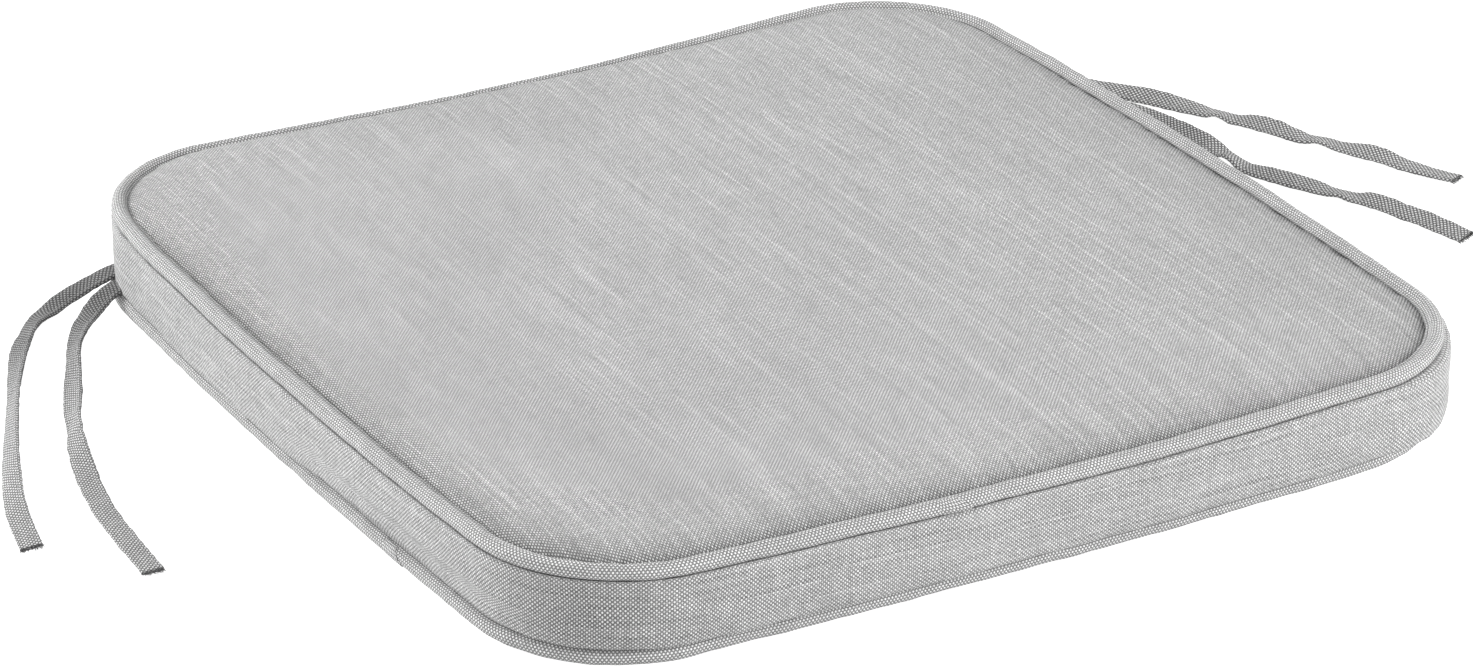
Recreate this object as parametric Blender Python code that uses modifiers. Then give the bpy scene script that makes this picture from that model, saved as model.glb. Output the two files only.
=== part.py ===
"""Square piped seat pad for a chair, with a zipped cover and four tie tapes.

The pad lies on its underside, +Z up.  The front edge faces -Y, the rear edge
with the zip faces +Y.  The origin is at the middle of the underside.
Units are metres.
"""
import math

import bmesh
import bpy
from mathutils import Vector

# ---------------------------------------------------------------- dimensions
MM = 0.001

# seam line in plan: a square with round corners, fuller at the front and the
# sides, and slightly drawn in along the rear, where the zip is
HALF_FRONT = 0.193
HALF_REAR = 0.1915
SEAM_DEPTH = 0.388
R_FRONT = 0.049
R_REAR = 0.056
BOW_FRONT = 0.009
BOW_SIDE = 0.006
REAR_DRAW_IN = 0.008
REAR_HOLLOW = 0.180          # half length of the drawn-in stretch
CORNER_STEPS = 6

# piping
PIPING_R = 3.0 * MM          # outside radius of the covered piping
PIPING_WALL = 0.7 * MM
PIPING_CORD_R = 1.8 * MM
FLANGE_IN = 4.2 * MM         # how far the seam allowance runs in from the centre
FLANGE_GAP = 0.35 * MM       # half the space between its two layers
Z_LOW = PIPING_R             # centre height of the lower piping
Z_HIGH = Z_LOW + 32.0 * MM   # centre height of the upper piping
Z_MID = (Z_LOW + Z_HIGH) / 2

# fabric and filling
FABRIC_T = 0.8 * MM
CROWN = 5.3 * MM             # rise of the top panel from its seam to its middle
CROWN_RUN = 13.0 * MM        # how quickly it rises
BAND_BULGE = 1.8 * MM
WADDING_T = 2.1 * MM
CLEAR = 0.3 * MM

# zip: straight, in a plane a little outside the middle of the rear seam
ZIP_PLANE = 2.0 * MM
ZIP_FACE = 3.4 * MM          # outer face of the bands beside it, from the same seam
ZIP_HALF_OPENING = 4.2 * MM  # half the gap between the two rear bands
ZIP_COIL_R = 0.9 * MM
ZIP_COIL_Z = 1.6 * MM        # each coil's distance from the zip's centreline
ZIP_COIL_U = 1.1 * MM        # the coils' distance outside the zip's own plane
ZIP_TAPE_U = -0.4 * MM
ZIP_TAPE_T = 0.6 * MM
ZIP_TAPE_IN = 0.7 * MM
ZIP_TAPE_OUT = 7.2 * MM
ZIP_HALF_LENGTH = 0.0940     # half the coils' length
BAND_END = 0.1080            # where the long band meets the rear bands
PINCH_END = 0.150            # where the long band is back to its full bulge
SLIDER_X = 0.0890            # the slider, with the zip shut
SLIDER_LENGTH = 9.0 * MM
SLIDER_HALF_WIDTH = 3.6 * MM
PULL_LENGTH = 14.0 * MM
PULL_AXIS_U = 4.25 * MM      # the pull's axis, outside the zip's plane

# ties
TIE_WIDTH = 8.4 * MM
TIE_T = 1.2 * MM

# ------------------------------------------------------------------ clearing
for old in list(bpy.data.objects):
    bpy.data.objects.remove(old, do_unlink=True)

pad = bpy.data.collections.new("seat_pad")
guides = bpy.data.collections.new("guides")
bpy.context.scene.collection.children.link(pad)
bpy.context.scene.collection.children.link(guides)


# ----------------------------------------------------------------- materials
def finish(name, colour, roughness, metallic=0.0):
    mat = bpy.data.materials.new(name)
    mat.use_nodes = True
    shader = mat.node_tree.nodes["Principled BSDF"]
    shader.inputs["Base Color"].default_value = (*colour, 1.0)
    shader.inputs["Roughness"].default_value = roughness
    shader.inputs["Metallic"].default_value = metallic
    mat.diffuse_color = (*colour, 1.0)
    return mat


GREY_CANVAS = (0.47, 0.47, 0.47)
FINISHES = {
    "foam": ((0.86, 0.84, 0.76), 0.95, 0.0),
    "wadding": ((0.88, 0.88, 0.87), 0.97, 0.0),
    "canvas": (GREY_CANVAS, 0.92, 0.0),
    "cord": ((0.80, 0.80, 0.78), 0.85, 0.0),
    "tape": ((0.33, 0.33, 0.34), 0.9, 0.0),
    "coil": ((0.30, 0.30, 0.31), 0.45, 0.0),
    "metal": ((0.55, 0.55, 0.56), 0.35, 1.0),
}


def add(name, data, kind):
    obj = bpy.data.objects.new(name, data)
    colour, roughness, metallic = FINISHES[kind]
    data.materials.append(finish("finish_" + name, colour, roughness, metallic))
    pad.objects.link(obj)
    return obj


def guide(name, data):
    obj = bpy.data.objects.new(name, data)
    obj.hide_render = True
    obj.display_type = 'WIRE'
    guides.objects.link(obj)
    return obj


# ----------------------------------------------------------------- seam line
def seam_points():
    """Corners of the seam line in plan, anticlockwise from the front left."""
    half = SEAM_DEPTH / 2
    square = [(-HALF_FRONT, -half), (HALF_FRONT, -half),
              (HALF_REAR, half), (-HALF_REAR, half)]
    radii = [R_FRONT, R_FRONT, R_REAR, R_REAR]
    arcs = []
    for i in range(4):
        here = Vector(square[i])
        back = (Vector(square[i - 1]) - here).normalized()
        on = (Vector(square[(i + 1) % 4]) - here).normalized()
        angle = back.angle(on)
        run = radii[i] / math.tan(angle / 2)
        middle = here + (back + on).normalized() * radii[i] / math.sin(angle / 2)
        first = here + back * run - middle
        last = here + on * run - middle
        a0 = math.atan2(first.y, first.x)
        a1 = math.atan2(last.y, last.x)
        if a1 < a0:
            a1 += 2 * math.pi
        arcs.append([middle + radii[i] * Vector((math.cos(a0 + (a1 - a0) * k / CORNER_STEPS),
                                                 math.sin(a0 + (a1 - a0) * k / CORNER_STEPS)))
                     for k in range(CORNER_STEPS + 1)])
    points = []
    for i in range(4):
        points += arcs[i]
        start, end = arcs[i][-1], arcs[(i + 1) % 4][0]
        if i == 2:      # rear: a point at each end of the zip
            for x in (BAND_END, BAND_END * 0.6, BAND_END * 0.2,
                      -BAND_END * 0.2, -BAND_END * 0.6, -BAND_END):
                points.append(Vector((x, half)))
        else:
            pieces = 6 if i == 0 else 5
            points += [start.lerp(end, k / pieces) for k in range(1, pieces)]
    shaped = []
    for p in points:
        side = 1 - (p.y / half) ** 2
        width = HALF_FRONT * (0.5 - p.y / SEAM_DEPTH) + HALF_REAR * (0.5 + p.y / SEAM_DEPTH)
        x = p.x * (1 + BOW_SIDE * side / width)
        if p.y < 0:
            y = p.y * (1 + BOW_FRONT * (1 - (p.x / width) ** 2) / half)
        else:
            t = min(abs(p.x) / REAR_HOLLOW, 1.0)
            y = p.y * (1 - REAR_DRAW_IN * (1 - t * t) ** 2 / half)
        shaped.append(Vector((x, y)))
    low = min(p.y for p in shaped)
    high = max(p.y for p in shaped)
    return [Vector((p.x, p.y - (low + high) / 2)) for p in shaped]


SEAM = seam_points()
COUNT = len(SEAM)
REAR_Y = min(p.y for p in SEAM if p.y > 0 and abs(p.x) < BAND_END / 4)


def bulge(p):
    """How far the boxing stands out at half height beside a point of the seam."""
    if p.y < 0 or abs(p.x) > PINCH_END:
        return BAND_BULGE
    to_zip = ZIP_FACE - (p.y - REAR_Y)
    t = min(max((abs(p.x) - BAND_END) / (PINCH_END - BAND_END), 0.0), 1.0)
    t = t * t * (3 - 2 * t)
    return to_zip * (1 - t) + BAND_BULGE * t


def mitre(points, i, closed=True):
    """The outward mitre at a point: one unit along it offsets both edges by one."""
    n = len(points)
    before = points[i] - points[i - 1] if closed or i > 0 else points[1] - points[0]
    after = (points[(i + 1) % n] - points[i]) if closed or i < n - 1 else before
    a = Vector((before.y, -before.x)).normalized()
    b = Vector((after.y, -after.x)).normalized()
    m = (a + b).normalized()
    return m / max(m.dot(a), 0.5)


MITRES = [mitre(SEAM, i) for i in range(COUNT)]


def ring(inward, z, shrink=1.0):
    """The seam line moved inward by a distance, at a height."""
    return [Vector(((p.x - m.x * inward) * shrink, (p.y - m.y * inward) * shrink, z))
            for p, m in zip(SEAM, MITRES)]


def loft(name, rings, kind, cap_first, cap_last):
    """Skin over rings of equal count, listed from the bottom or the outside."""
    bm = bmesh.new()
    rows = [[bm.verts.new(v) for v in r] for r in rings]
    n = len(rows[0])
    for low, high in zip(rows, rows[1:]):
        for i in range(n):
            j = (i + 1) % n
            bm.faces.new((low[i], low[j], high[j], high[i]))
    if cap_first:
        bm.faces.new(list(reversed(rows[0])))
    if cap_last:
        bm.faces.new(rows[-1])
    mesh = bpy.data.meshes.new(name)
    bm.to_mesh(mesh)
    bm.free()
    mesh.shade_smooth()
    mesh.set_sharp_from_angle(angle=math.radians(35))
    return add(name, mesh, kind)


def thicken(obj, thickness):
    mod = obj.modifiers.new("cloth", 'SOLIDIFY')
    mod.thickness = thickness
    mod.offset = -1.0
    mod.use_even_offset = True
    return obj


# ------------------------------------------------------------------- filling
def top_height(inward):
    """Height of the top panel's outer face at a distance in from the seam line."""
    start = PIPING_R + CLEAR
    edge = Z_HIGH + 1.05 * MM + CLEAR + FABRIC_T
    return edge + CROWN * (1 - math.exp(-max(inward - start, 0.0) / CROWN_RUN))


RISE = (8 * MM, 14 * MM, 24 * MM, 36 * MM)
MIDDLE = (30 * MM, 0.45)      # the innermost ring: how far in, then how much smaller


def covered(drop):
    """Rings that follow the crown of the top panel at a depth below its face."""
    rows = [ring(s, top_height(s) - drop) for s in RISE]
    rows.append(ring(MIDDLE[0], top_height(110 * MM) - drop, MIDDLE[1]))
    return rows


def foam_side(inward, z):
    """Side of the foam: inside the boxing, and flat behind the zip."""
    out = []
    for p, m in zip(SEAM, MITRES):
        d = max(inward, FABRIC_T + 0.5 * MM - bulge(p))
        x, y = p.x - m.x * d, p.y - m.y * d
        if abs(p.x) <= BAND_END + 1 * MM and p.y > 0:
            y = min(y, REAR_Y - 0.5 * MM)
        out.append(Vector((x, y, z)))
    return out


UNDER = FABRIC_T + CLEAR
foam_low = UNDER + WADDING_T + CLEAR + 0.1 * MM
foam_drop = FABRIC_T * 1.15 + CLEAR + WADDING_T + 0.45 * MM
loft("foam_core",
     [ring(9 * MM, foam_low),
      ring(5.4 * MM, foam_low),
      ring(2.5 * MM, Z_LOW + 5.8 * MM),
      foam_side(0.4 * MM, Z_LOW + 11 * MM),
      foam_side(0.4 * MM, Z_HIGH - 11 * MM),
      ring(2.5 * MM, Z_HIGH - 5.8 * MM),
      ring(5.4 * MM, Z_HIGH - 0.6 * MM)] + covered(foam_drop),
     "foam", True, True)

loft("wadding_bottom",
     [ring(4.9 * MM, UNDER), ring(6.0 * MM, UNDER + WADDING_T)],
     "wadding", True, True)

# the upper wadding: its under face outward, round its edge, its top face inward
pad_low = covered(foam_drop - 0.4 * MM)
pad_high = covered(FABRIC_T * 1.15 + CLEAR)
loft("wadding_top",
     list(reversed(pad_low))
     + [ring(6.0 * MM, Z_HIGH + 0.15 * MM), ring(5.0 * MM, Z_HIGH + 0.35 * MM),
        ring(5.0 * MM, top_height(5.0 * MM) - FABRIC_T * 1.15 - CLEAR)]
     + pad_high,
     "wadding", True, True)

# --------------------------------------------------------------------- cover
thicken(loft("top_panel",
             [ring(PIPING_R + CLEAR, top_height(0)), ring(5 * MM, top_height(5 * MM))]
             + covered(0.0),
             "canvas", False, True), FABRIC_T)

loft("bottom_panel",
     [ring(PIPING_R + CLEAR, 0.0), ring(PIPING_R + CLEAR, FABRIC_T)],
     "canvas", True, True)


def band_section(p, part):
    """Outer face of the boxing at a point: (distance outside the seam line, height)."""
    b = bulge(p)
    low = [(-3.4 * MM, Z_LOW + 1.8 * MM), (0.0, Z_LOW + 4.4 * MM)]
    high = [(0.0, Z_HIGH - 4.4 * MM), (-3.4 * MM, Z_HIGH - 1.8 * MM)]
    if part == "lower":
        return low + [(0.95 * b, Z_LOW + 8.3 * MM), (b, Z_MID - ZIP_HALF_OPENING)]
    if part == "upper":
        return [(b, Z_MID + ZIP_HALF_OPENING), (0.95 * b, Z_HIGH - 8.3 * MM)] + high
    return (low + [(0.8 * b, Z_LOW + 8.8 * MM), (b, Z_MID), (0.8 * b, Z_HIGH - 8.8 * MM)]
            + high)


def strip(name, path, part):
    """An open band of canvas: its section carried along an open path in plan."""
    bm = bmesh.new()
    rows = []
    for i, p in enumerate(path):
        m = mitre(path, i, closed=False)
        if p.y > 0 and abs(p.x) <= BAND_END + CLEAR:
            m = Vector((0.0, 1.0))       # beside the zip, square to it
        rows.append([bm.verts.new((p.x + m.x * u, p.y + m.y * u, z))
                     for u, z in band_section(p, part)])
    for a, b in zip(rows, rows[1:]):
        for k in range(len(a) - 1):
            bm.faces.new((a[k], b[k], b[k + 1], a[k + 1]))
    mesh = bpy.data.meshes.new(name)
    bm.to_mesh(mesh)
    bm.free()
    mesh.shade_smooth()
    mesh.set_sharp_from_angle(angle=math.radians(50))
    return thicken(add(name, mesh, "canvas"), FABRIC_T)


# the long band runs from one end of the zip round the front to the other
left_end = next(i for i, p in enumerate(SEAM) if p.y > 0 and abs(p.x + BAND_END) < 1e-6)
right_end = next(i for i, p in enumerate(SEAM) if p.y > 0 and abs(p.x - BAND_END) < 1e-6)
long_way = [SEAM[(left_end + k) % COUNT] for k in range((right_end - left_end) % COUNT + 1)]
strip("boxing_band", long_way, "full")

rear_way = [SEAM[i].copy() for i in range(right_end, left_end + 1)]
rear_way[0].x -= CLEAR
rear_way[-1].x += CLEAR
strip("rear_band_lower", rear_way, "lower")
strip("rear_band_upper", rear_way, "upper")


# -------------------------------------------------------------------- piping
def poly_curve(name, points, cyclic, dimensions='3D', tilts=None):
    curve = bpy.data.curves.new(name, 'CURVE')
    curve.dimensions = dimensions
    spline = curve.splines.new('POLY')
    spline.points.add(len(points) - 1)
    for k, p in enumerate(points):
        spline.points[k].co = (p[0], p[1], p[2] if len(p) > 2 else 0.0, 1.0)
        if tilts:
            spline.points[k].tilt = tilts[k]
    spline.use_cyclic_u = cyclic
    return curve


def piping_profile():
    """Section of the folded piping strip: round the cord, then two layers inward."""
    r, q = PIPING_R, PIPING_R - PIPING_WALL
    lip = FLANGE_GAP + PIPING_WALL
    turn = [math.radians(a) for a in (135, 90, 45, 0, -45, -90, -135)]
    outer = [(-FLANGE_IN, lip), (-math.sqrt(r * r - lip * lip), lip)]
    outer += [(r * math.cos(a), r * math.sin(a)) for a in turn]
    outer += [(-math.sqrt(r * r - lip * lip), -lip), (-FLANGE_IN, -lip)]
    inner = [(-FLANGE_IN, -FLANGE_GAP), (-math.sqrt(q * q - FLANGE_GAP ** 2), -FLANGE_GAP)]
    inner += [(q * math.cos(a), q * math.sin(a)) for a in reversed(turn)]
    inner += [(-math.sqrt(q * q - FLANGE_GAP ** 2), FLANGE_GAP), (-FLANGE_IN, FLANGE_GAP)]
    return outer + inner


profile = guide("piping_section", poly_curve("piping_section", piping_profile(), True, '2D'))
profile.data.fill_mode = 'NONE'

for side, height in (("top", Z_HIGH), ("bottom", Z_LOW)):
    cover = poly_curve(side + "_piping_cover", ring(0.0, height), True)
    cover.twist_mode = 'Z_UP'
    cover.bevel_mode = 'OBJECT'
    cover.bevel_object = profile
    add(side + "_piping_cover", cover, "canvas")

    cord = poly_curve(side + "_piping_cord", ring(0.0, height), True)
    cord.twist_mode = 'Z_UP'
    cord.bevel_depth = PIPING_CORD_R
    cord.bevel_resolution = 2
    add(side + "_piping_cord", cord, "cord")


# ----------------------------------------------------------------------- zip
def block(name, low, high, kind=None, bevel=0.0):
    """A box between two corners, from the cube primitive."""
    bm = bmesh.new()
    bmesh.ops.create_cube(bm, size=1.0)
    size = Vector(high) - Vector(low)
    middle = (Vector(high) + Vector(low)) / 2
    bmesh.ops.scale(bm, vec=size, verts=bm.verts)
    bmesh.ops.translate(bm, vec=middle, verts=bm.verts)
    mesh = bpy.data.meshes.new(name)
    bm.to_mesh(mesh)
    bm.free()
    obj = add(name, mesh, kind) if kind else guide(name, mesh)
    if bevel:
        mod = obj.modifiers.new("edges", 'BEVEL')
        mod.width = bevel
        mod.segments = 2
    return obj


def join(obj, others, operation='UNION'):
    for other in others:
        mod = obj.modifiers.new(operation.lower(), 'BOOLEAN')
        mod.operation = operation
        mod.solver = 'EXACT'
        mod.object = other
    return obj


def rear(u):
    return REAR_Y + ZIP_PLANE + u


tape_half = BAND_END - 3 * MM
for side, sign in (("upper", 1), ("lower", -1)):
    z0, z1 = sorted((Z_MID + sign * ZIP_TAPE_IN, Z_MID + sign * ZIP_TAPE_OUT))
    block("zip_tape_" + side,
          (-tape_half, rear(ZIP_TAPE_U - ZIP_TAPE_T / 2), z0),
          (tape_half, rear(ZIP_TAPE_U + ZIP_TAPE_T / 2), z1), "tape")
    coil = poly_curve("zip_coil_" + side,
                      [(x, rear(ZIP_COIL_U), Z_MID + sign * ZIP_COIL_Z)
                       for x in (-ZIP_HALF_LENGTH, 0.0, ZIP_HALF_LENGTH)], False)
    coil.bevel_depth = ZIP_COIL_R
    coil.bevel_resolution = 2
    coil.use_fill_caps = True
    add("zip_coil_" + side, coil, "coil")

for side, x in (("top", ZIP_HALF_LENGTH + 0.5 * MM), ("bottom", -ZIP_HALF_LENGTH - 2.3 * MM)):
    block("zip_%s_stop" % side,
          (x, rear(0.2 * MM), Z_MID - 2.6 * MM),
          (x + 1.8 * MM, rear(2.2 * MM), Z_MID + 2.6 * MM), "metal", 0.4 * MM)

# slider: an outer and an inner plate joined by a post between the coils, the
# outer plate's edges turned in beside them, and an arch for the pull
sx = SLIDER_X
half = SLIDER_LENGTH / 2
w = SLIDER_HALF_WIDTH
slider = block("zip_slider", (sx - half, rear(2.3 * MM), Z_MID - w),
               (sx + half, rear(3.3 * MM), Z_MID + w), "metal")
inner_plate = block("slider_inner_plate", (sx - half, rear(-2.0 * MM), Z_MID - w),
                    (sx + half, rear(-1.0 * MM), Z_MID + w))
post = block("slider_post", (sx + 0.4 * MM, rear(-1.5 * MM), Z_MID - 0.4 * MM),
             (sx + half - 0.8 * MM, rear(2.8 * MM), Z_MID + 0.4 * MM))
edges = [block("slider_edge_%d" % k,
               (sx - half + 0.6 * MM, rear(0.6 * MM), Z_MID + s * w - (0.6 * MM if s > 0 else 0)),
               (sx + half - 0.6 * MM, rear(2.8 * MM), Z_MID + s * w + (0.6 * MM if s < 0 else 0)))
         for k, s in enumerate((1, -1))]
arch = block("slider_arch", (sx - 2.6 * MM, rear(2.8 * MM), Z_MID - 0.6 * MM),
             (sx + 2.6 * MM, rear(5.9 * MM), Z_MID + 0.6 * MM))
arch_mod = arch.modifiers.new("round", 'BEVEL')
arch_mod.width = 0.5 * MM
arch_mod.segments = 1
join(slider, [inner_plate, post] + edges + [arch])
window = block("slider_window", (sx - 1.75 * MM, rear(3.3 * MM), Z_MID - 2 * MM),
               (sx + 1.75 * MM, rear(5.15 * MM), Z_MID + 2 * MM))
join(slider, [window], 'DIFFERENCE')

# pull: a cross bar under the arch, a leg on each side of it and a flat tab,
# lying back along the closed zip.  Its origin is on its axis.
pull_axis = Vector((sx, rear(PULL_AXIS_U), Z_MID))
pull = block("zip_pull", (-PULL_LENGTH, -0.45 * MM, -2.4 * MM),
             (0.5 * MM, 0.45 * MM, 2.4 * MM), "metal")
eye = block("pull_eye", (-4.0 * MM, -1 * MM, -1.05 * MM), (-0.5 * MM, 1 * MM, 1.05 * MM))
eye.location = pull_axis
pull.location = pull_axis
join(pull, [eye], 'DIFFERENCE')


# ---------------------------------------------------------------------- ties
def smooth(points, count):
    """Even points along the smooth curve through the given ones."""
    fine = []
    padded = [points[0]] + list(points) + [points[-1]]
    for k in range(1, len(padded) - 2):
        p0, p1, p2, p3 = (Vector(q) for q in padded[k - 1:k + 3])
        for j in range(12):
            t = j / 12
            fine.append(0.5 * (2 * p1 + (p2 - p0) * t
                               + (2 * p0 - 5 * p1 + 4 * p2 - p3) * t * t
                               + (3 * p1 - p0 - 3 * p2 + p3) * t ** 3))
    fine.append(Vector(points[-1]))
    run = [0.0]
    for a, b in zip(fine, fine[1:]):
        run.append(run[-1] + (b - a).xy.length)
    out = []
    k = 0
    for j in range(count):
        want = run[-1] * j / (count - 1)
        while k < len(run) - 2 and run[k + 1] < want:
            k += 1
        t = (want - run[k]) / (run[k + 1] - run[k])
        out.append(fine[k].lerp(fine[k + 1], t))
    return out


def rest_height(tilt, lift):
    """Height of a tape's centreline when its lower edge touches the ground."""
    return (TIE_WIDTH / 2 * abs(math.sin(tilt)) + TIE_T / 2 * abs(math.cos(tilt))
            + 0.1 * MM + lift)


# each route: plan position, tilt of the tape in degrees, and the height of its
# lower edge above the ground.  The tapes leave the lower seam at a rear corner,
# run out over the piping and down to the ground, and turn towards the front.
TIES = {
    "tie_left_outer": [
        (-0.1915, 0.1678, 0, 6.2), (-0.2030, 0.1650, -4, 4.0), (-0.2150, 0.1612, -8, 1.8),
        (-0.2262, 0.1548, 10, 0.5), (-0.2355, 0.1450, 30, 0), (-0.2440, 0.1338, 24, 0),
        (-0.2537, 0.1160, 40, 0), (-0.2668, 0.0895, 56, 0), (-0.2817, 0.0583, 46, 0),
        (-0.2920, 0.0345, 34, 0), (-0.3000, 0.0118, 20, 0), (-0.3057, -0.0127, 8, 0)],
    "tie_left_inner": [
        (-0.1971, 0.1530, -2, 6.2), (-0.2070, 0.1470, -4, 4.0), (-0.2165, 0.1380, 15, 1.6),
        (-0.2250, 0.1255, 38, 0.4), (-0.2318, 0.1130, 50, 0), (-0.2418, 0.0918, 34, 0),
        (-0.2495, 0.0752, 38, 0), (-0.2540, 0.0642, 54, 0), (-0.2605, 0.0472, 36, 0),
        (-0.2665, 0.0250, 10, 0), (-0.2712, 0.0022, 3, 0), (-0.2740, -0.0242, 3, 0),
        (-0.2757, -0.0485, 2, 0)],
    "tie_right_outer": [
        (0.1915, 0.1678, 0, 6.2), (0.2030, 0.1650, 0, 4.0), (0.2155, 0.1608, 5, 1.8),
        (0.2280, 0.1535, 8, 0.6), (0.2392, 0.1432, 10, 0), (0.2545, 0.1195, 30, 0),
        (0.2670, 0.1022, 10, 0), (0.2726, 0.0942, -10, 0), (0.2800, 0.0770, 24, 0),
        (0.2878, 0.0600, 6, 0), (0.2935, 0.0520, -8, 0), (0.3023, 0.0320, 22, 0),
        (0.3078, 0.0190, 8, 0), (0.3138, 0.0070, 0, 0), (0.3190, -0.0036, -4, 0)],
    "tie_right_inner": [
        (0.1971, 0.1530, 0, 6.2), (0.2075, 0.1482, 0, 4.0), (0.2187, 0.1408, 0, 1.8),
        (0.2290, 0.1305, -6, 0.6), (0.2370, 0.1188, -12, 0), (0.2423, 0.1020, 5, 0),
        (0.2445, 0.0892, 26, 0), (0.2480, 0.0742, 24, 0), (0.2506, 0.0635, -4, 0),
        (0.2513, 0.0552, -18, 0), (0.2525, 0.0442, 4, 0), (0.2572, 0.0302, 18, 0),
        (0.2655, 0.0150, 8, 0), (0.2706, 0.0060, -8, 0), (0.2760, -0.0048, 18, 0),
        (0.2803, -0.0190, 18, 0), (0.2845, -0.0335, 20, 0), (0.2885, -0.0510, 12, 0)],
}

tape_section = guide("tape_section", poly_curve("tape_section", [
    (TIE_WIDTH / 2, TIE_T / 2), (TIE_WIDTH / 2, -TIE_T / 2),
    (-TIE_WIDTH / 2, -TIE_T / 2), (-TIE_WIDTH / 2, TIE_T / 2)], True, '2D'))
tape_section.data.fill_mode = 'NONE'

for name, route in TIES.items():
    points, tilts = [], []
    # plan position and tilt are carried together along the smooth curve
    plan = smooth([(x, y, lift) for x, y, tilt, lift in route], 36)
    turns = smooth([(x, y, tilt) for x, y, tilt, lift in route], 36)
    for p, q in zip(plan, turns):
        tilt = math.radians(q.z)
        tilts.append(tilt)
        points.append((p.x, p.y, rest_height(tilt, max(p.z, 0.0) * MM)))
    tie = poly_curve(name, points, False, tilts=tilts)
    tie.twist_mode = 'Z_UP'
    tie.bevel_mode = 'OBJECT'
    tie.bevel_object = tape_section
    tie.use_fill_caps = True
    add(name, tie, "canvas")
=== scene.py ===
"""Looks of the square piped seat pad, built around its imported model.

Everything is in metres in the model's own frame: the pad lies on its underside,
+Z up, its front edge faces -Y and the edge with the zip faces +Y.
"""
import math

import bmesh
import bpy
import numpy as np
from mathutils import Matrix, Vector


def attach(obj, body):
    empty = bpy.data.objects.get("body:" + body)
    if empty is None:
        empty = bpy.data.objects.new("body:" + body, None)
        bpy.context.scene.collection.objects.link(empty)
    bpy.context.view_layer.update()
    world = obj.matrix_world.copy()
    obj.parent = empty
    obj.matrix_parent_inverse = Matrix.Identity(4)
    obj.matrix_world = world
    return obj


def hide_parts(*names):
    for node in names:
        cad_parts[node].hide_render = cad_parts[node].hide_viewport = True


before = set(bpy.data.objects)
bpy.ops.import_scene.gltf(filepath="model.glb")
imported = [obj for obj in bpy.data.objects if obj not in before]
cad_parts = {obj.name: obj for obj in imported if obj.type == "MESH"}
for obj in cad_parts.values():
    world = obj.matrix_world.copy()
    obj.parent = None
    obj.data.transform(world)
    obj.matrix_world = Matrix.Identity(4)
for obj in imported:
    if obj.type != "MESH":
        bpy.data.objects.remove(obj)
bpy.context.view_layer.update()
MM = 0.001

# ------------------------------------------------------------------ dimensions
HALF_FRONT, HALF_REAR, SEAM_DEPTH = 0.193, 0.1915, 0.388
R_FRONT, R_REAR = 0.049, 0.056
BOW_FRONT, BOW_SIDE = 0.009, 0.006
REAR_DRAW_IN, REAR_HOLLOW = 0.008, 0.180
SEAM_SHIFT = 0.005245

PIPING_R = 3.0 * MM
Z_LOW = PIPING_R
Z_HIGH = Z_LOW + 32.0 * MM
Z_MID = (Z_LOW + Z_HIGH) / 2
FABRIC_T = 0.8 * MM

REAR_Y = 0.191474            # the seam at the middle of the rear
ZIP_PLANE = 2.0 * MM
ZIP_FACE = 3.4 * MM
ZIP_HALF_OPENING = 4.2 * MM
ZIP_HALF_LENGTH = 0.0940
BAND_END = 0.1080
PINCH_END = 0.150
SLIDER_X = 0.0890
PULL_AXIS_U = 4.25 * MM

TIE_WIDTH, TIE_T = 8.4 * MM, 1.2 * MM

YARN_U, YARN_V = 0.75 * MM, 0.80 * MM     # spacing of the yarns in the canvas

scene = bpy.context.scene


# --------------------------------------------------------------------- camera
def make_camera():
    """The view of the pad over its front left corner, through a long lens."""
    azimuth, elevation = math.radians(-30.81433), math.radians(25.88715)
    distance, roll = 2.25392, math.radians(0.67533)
    focal, aim_x, aim_y = 6000.0, 20.64287, -8.86177
    frame_width = 1473.0
    a, e = azimuth, elevation
    back = np.array([math.sin(a) * math.cos(e), -math.cos(a) * math.cos(e), math.sin(e)])
    right = np.cross([0.0, 0.0, 1.0], back)
    right /= np.linalg.norm(right)
    up = np.cross(back, right)
    r2 = right * math.cos(roll) + up * math.sin(roll)
    u2 = -right * math.sin(roll) + up * math.cos(roll)
    base = np.stack([r2, u2, back])
    place = back * distance + np.array([0.0, 0.0052, 0.00771])
    # turn the camera a little, so that the pad sits where it does in the frame
    d = np.array([aim_x, -aim_y, -focal])
    d /= np.linalg.norm(d)
    ahead = np.array([0.0, 0.0, -1.0])
    v, c = np.cross(ahead, d), float(ahead @ d)
    k = np.array([[0, -v[2], v[1]], [v[2], 0, -v[0]], [-v[1], v[0], 0]])
    turn = np.eye(3) + k + k @ k * ((1 - c) / max(float(v @ v), 1e-12))
    axes = turn @ base
    cam = bpy.data.objects.new("camera", bpy.data.cameras.new("camera"))
    scene.collection.objects.link(cam)
    cam.data.sensor_width = 36.0
    cam.data.lens = 36.0 * focal / frame_width
    cam.data.clip_start, cam.data.clip_end = 0.05, 50.0
    m = Matrix(np.eye(4).tolist())
    for col in range(3):
        for row in range(3):
            m[row][col] = axes[col][row]
    for row in range(3):
        m[row][3] = place[row]
    cam.matrix_world = m
    scene.camera = cam


make_camera()


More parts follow.
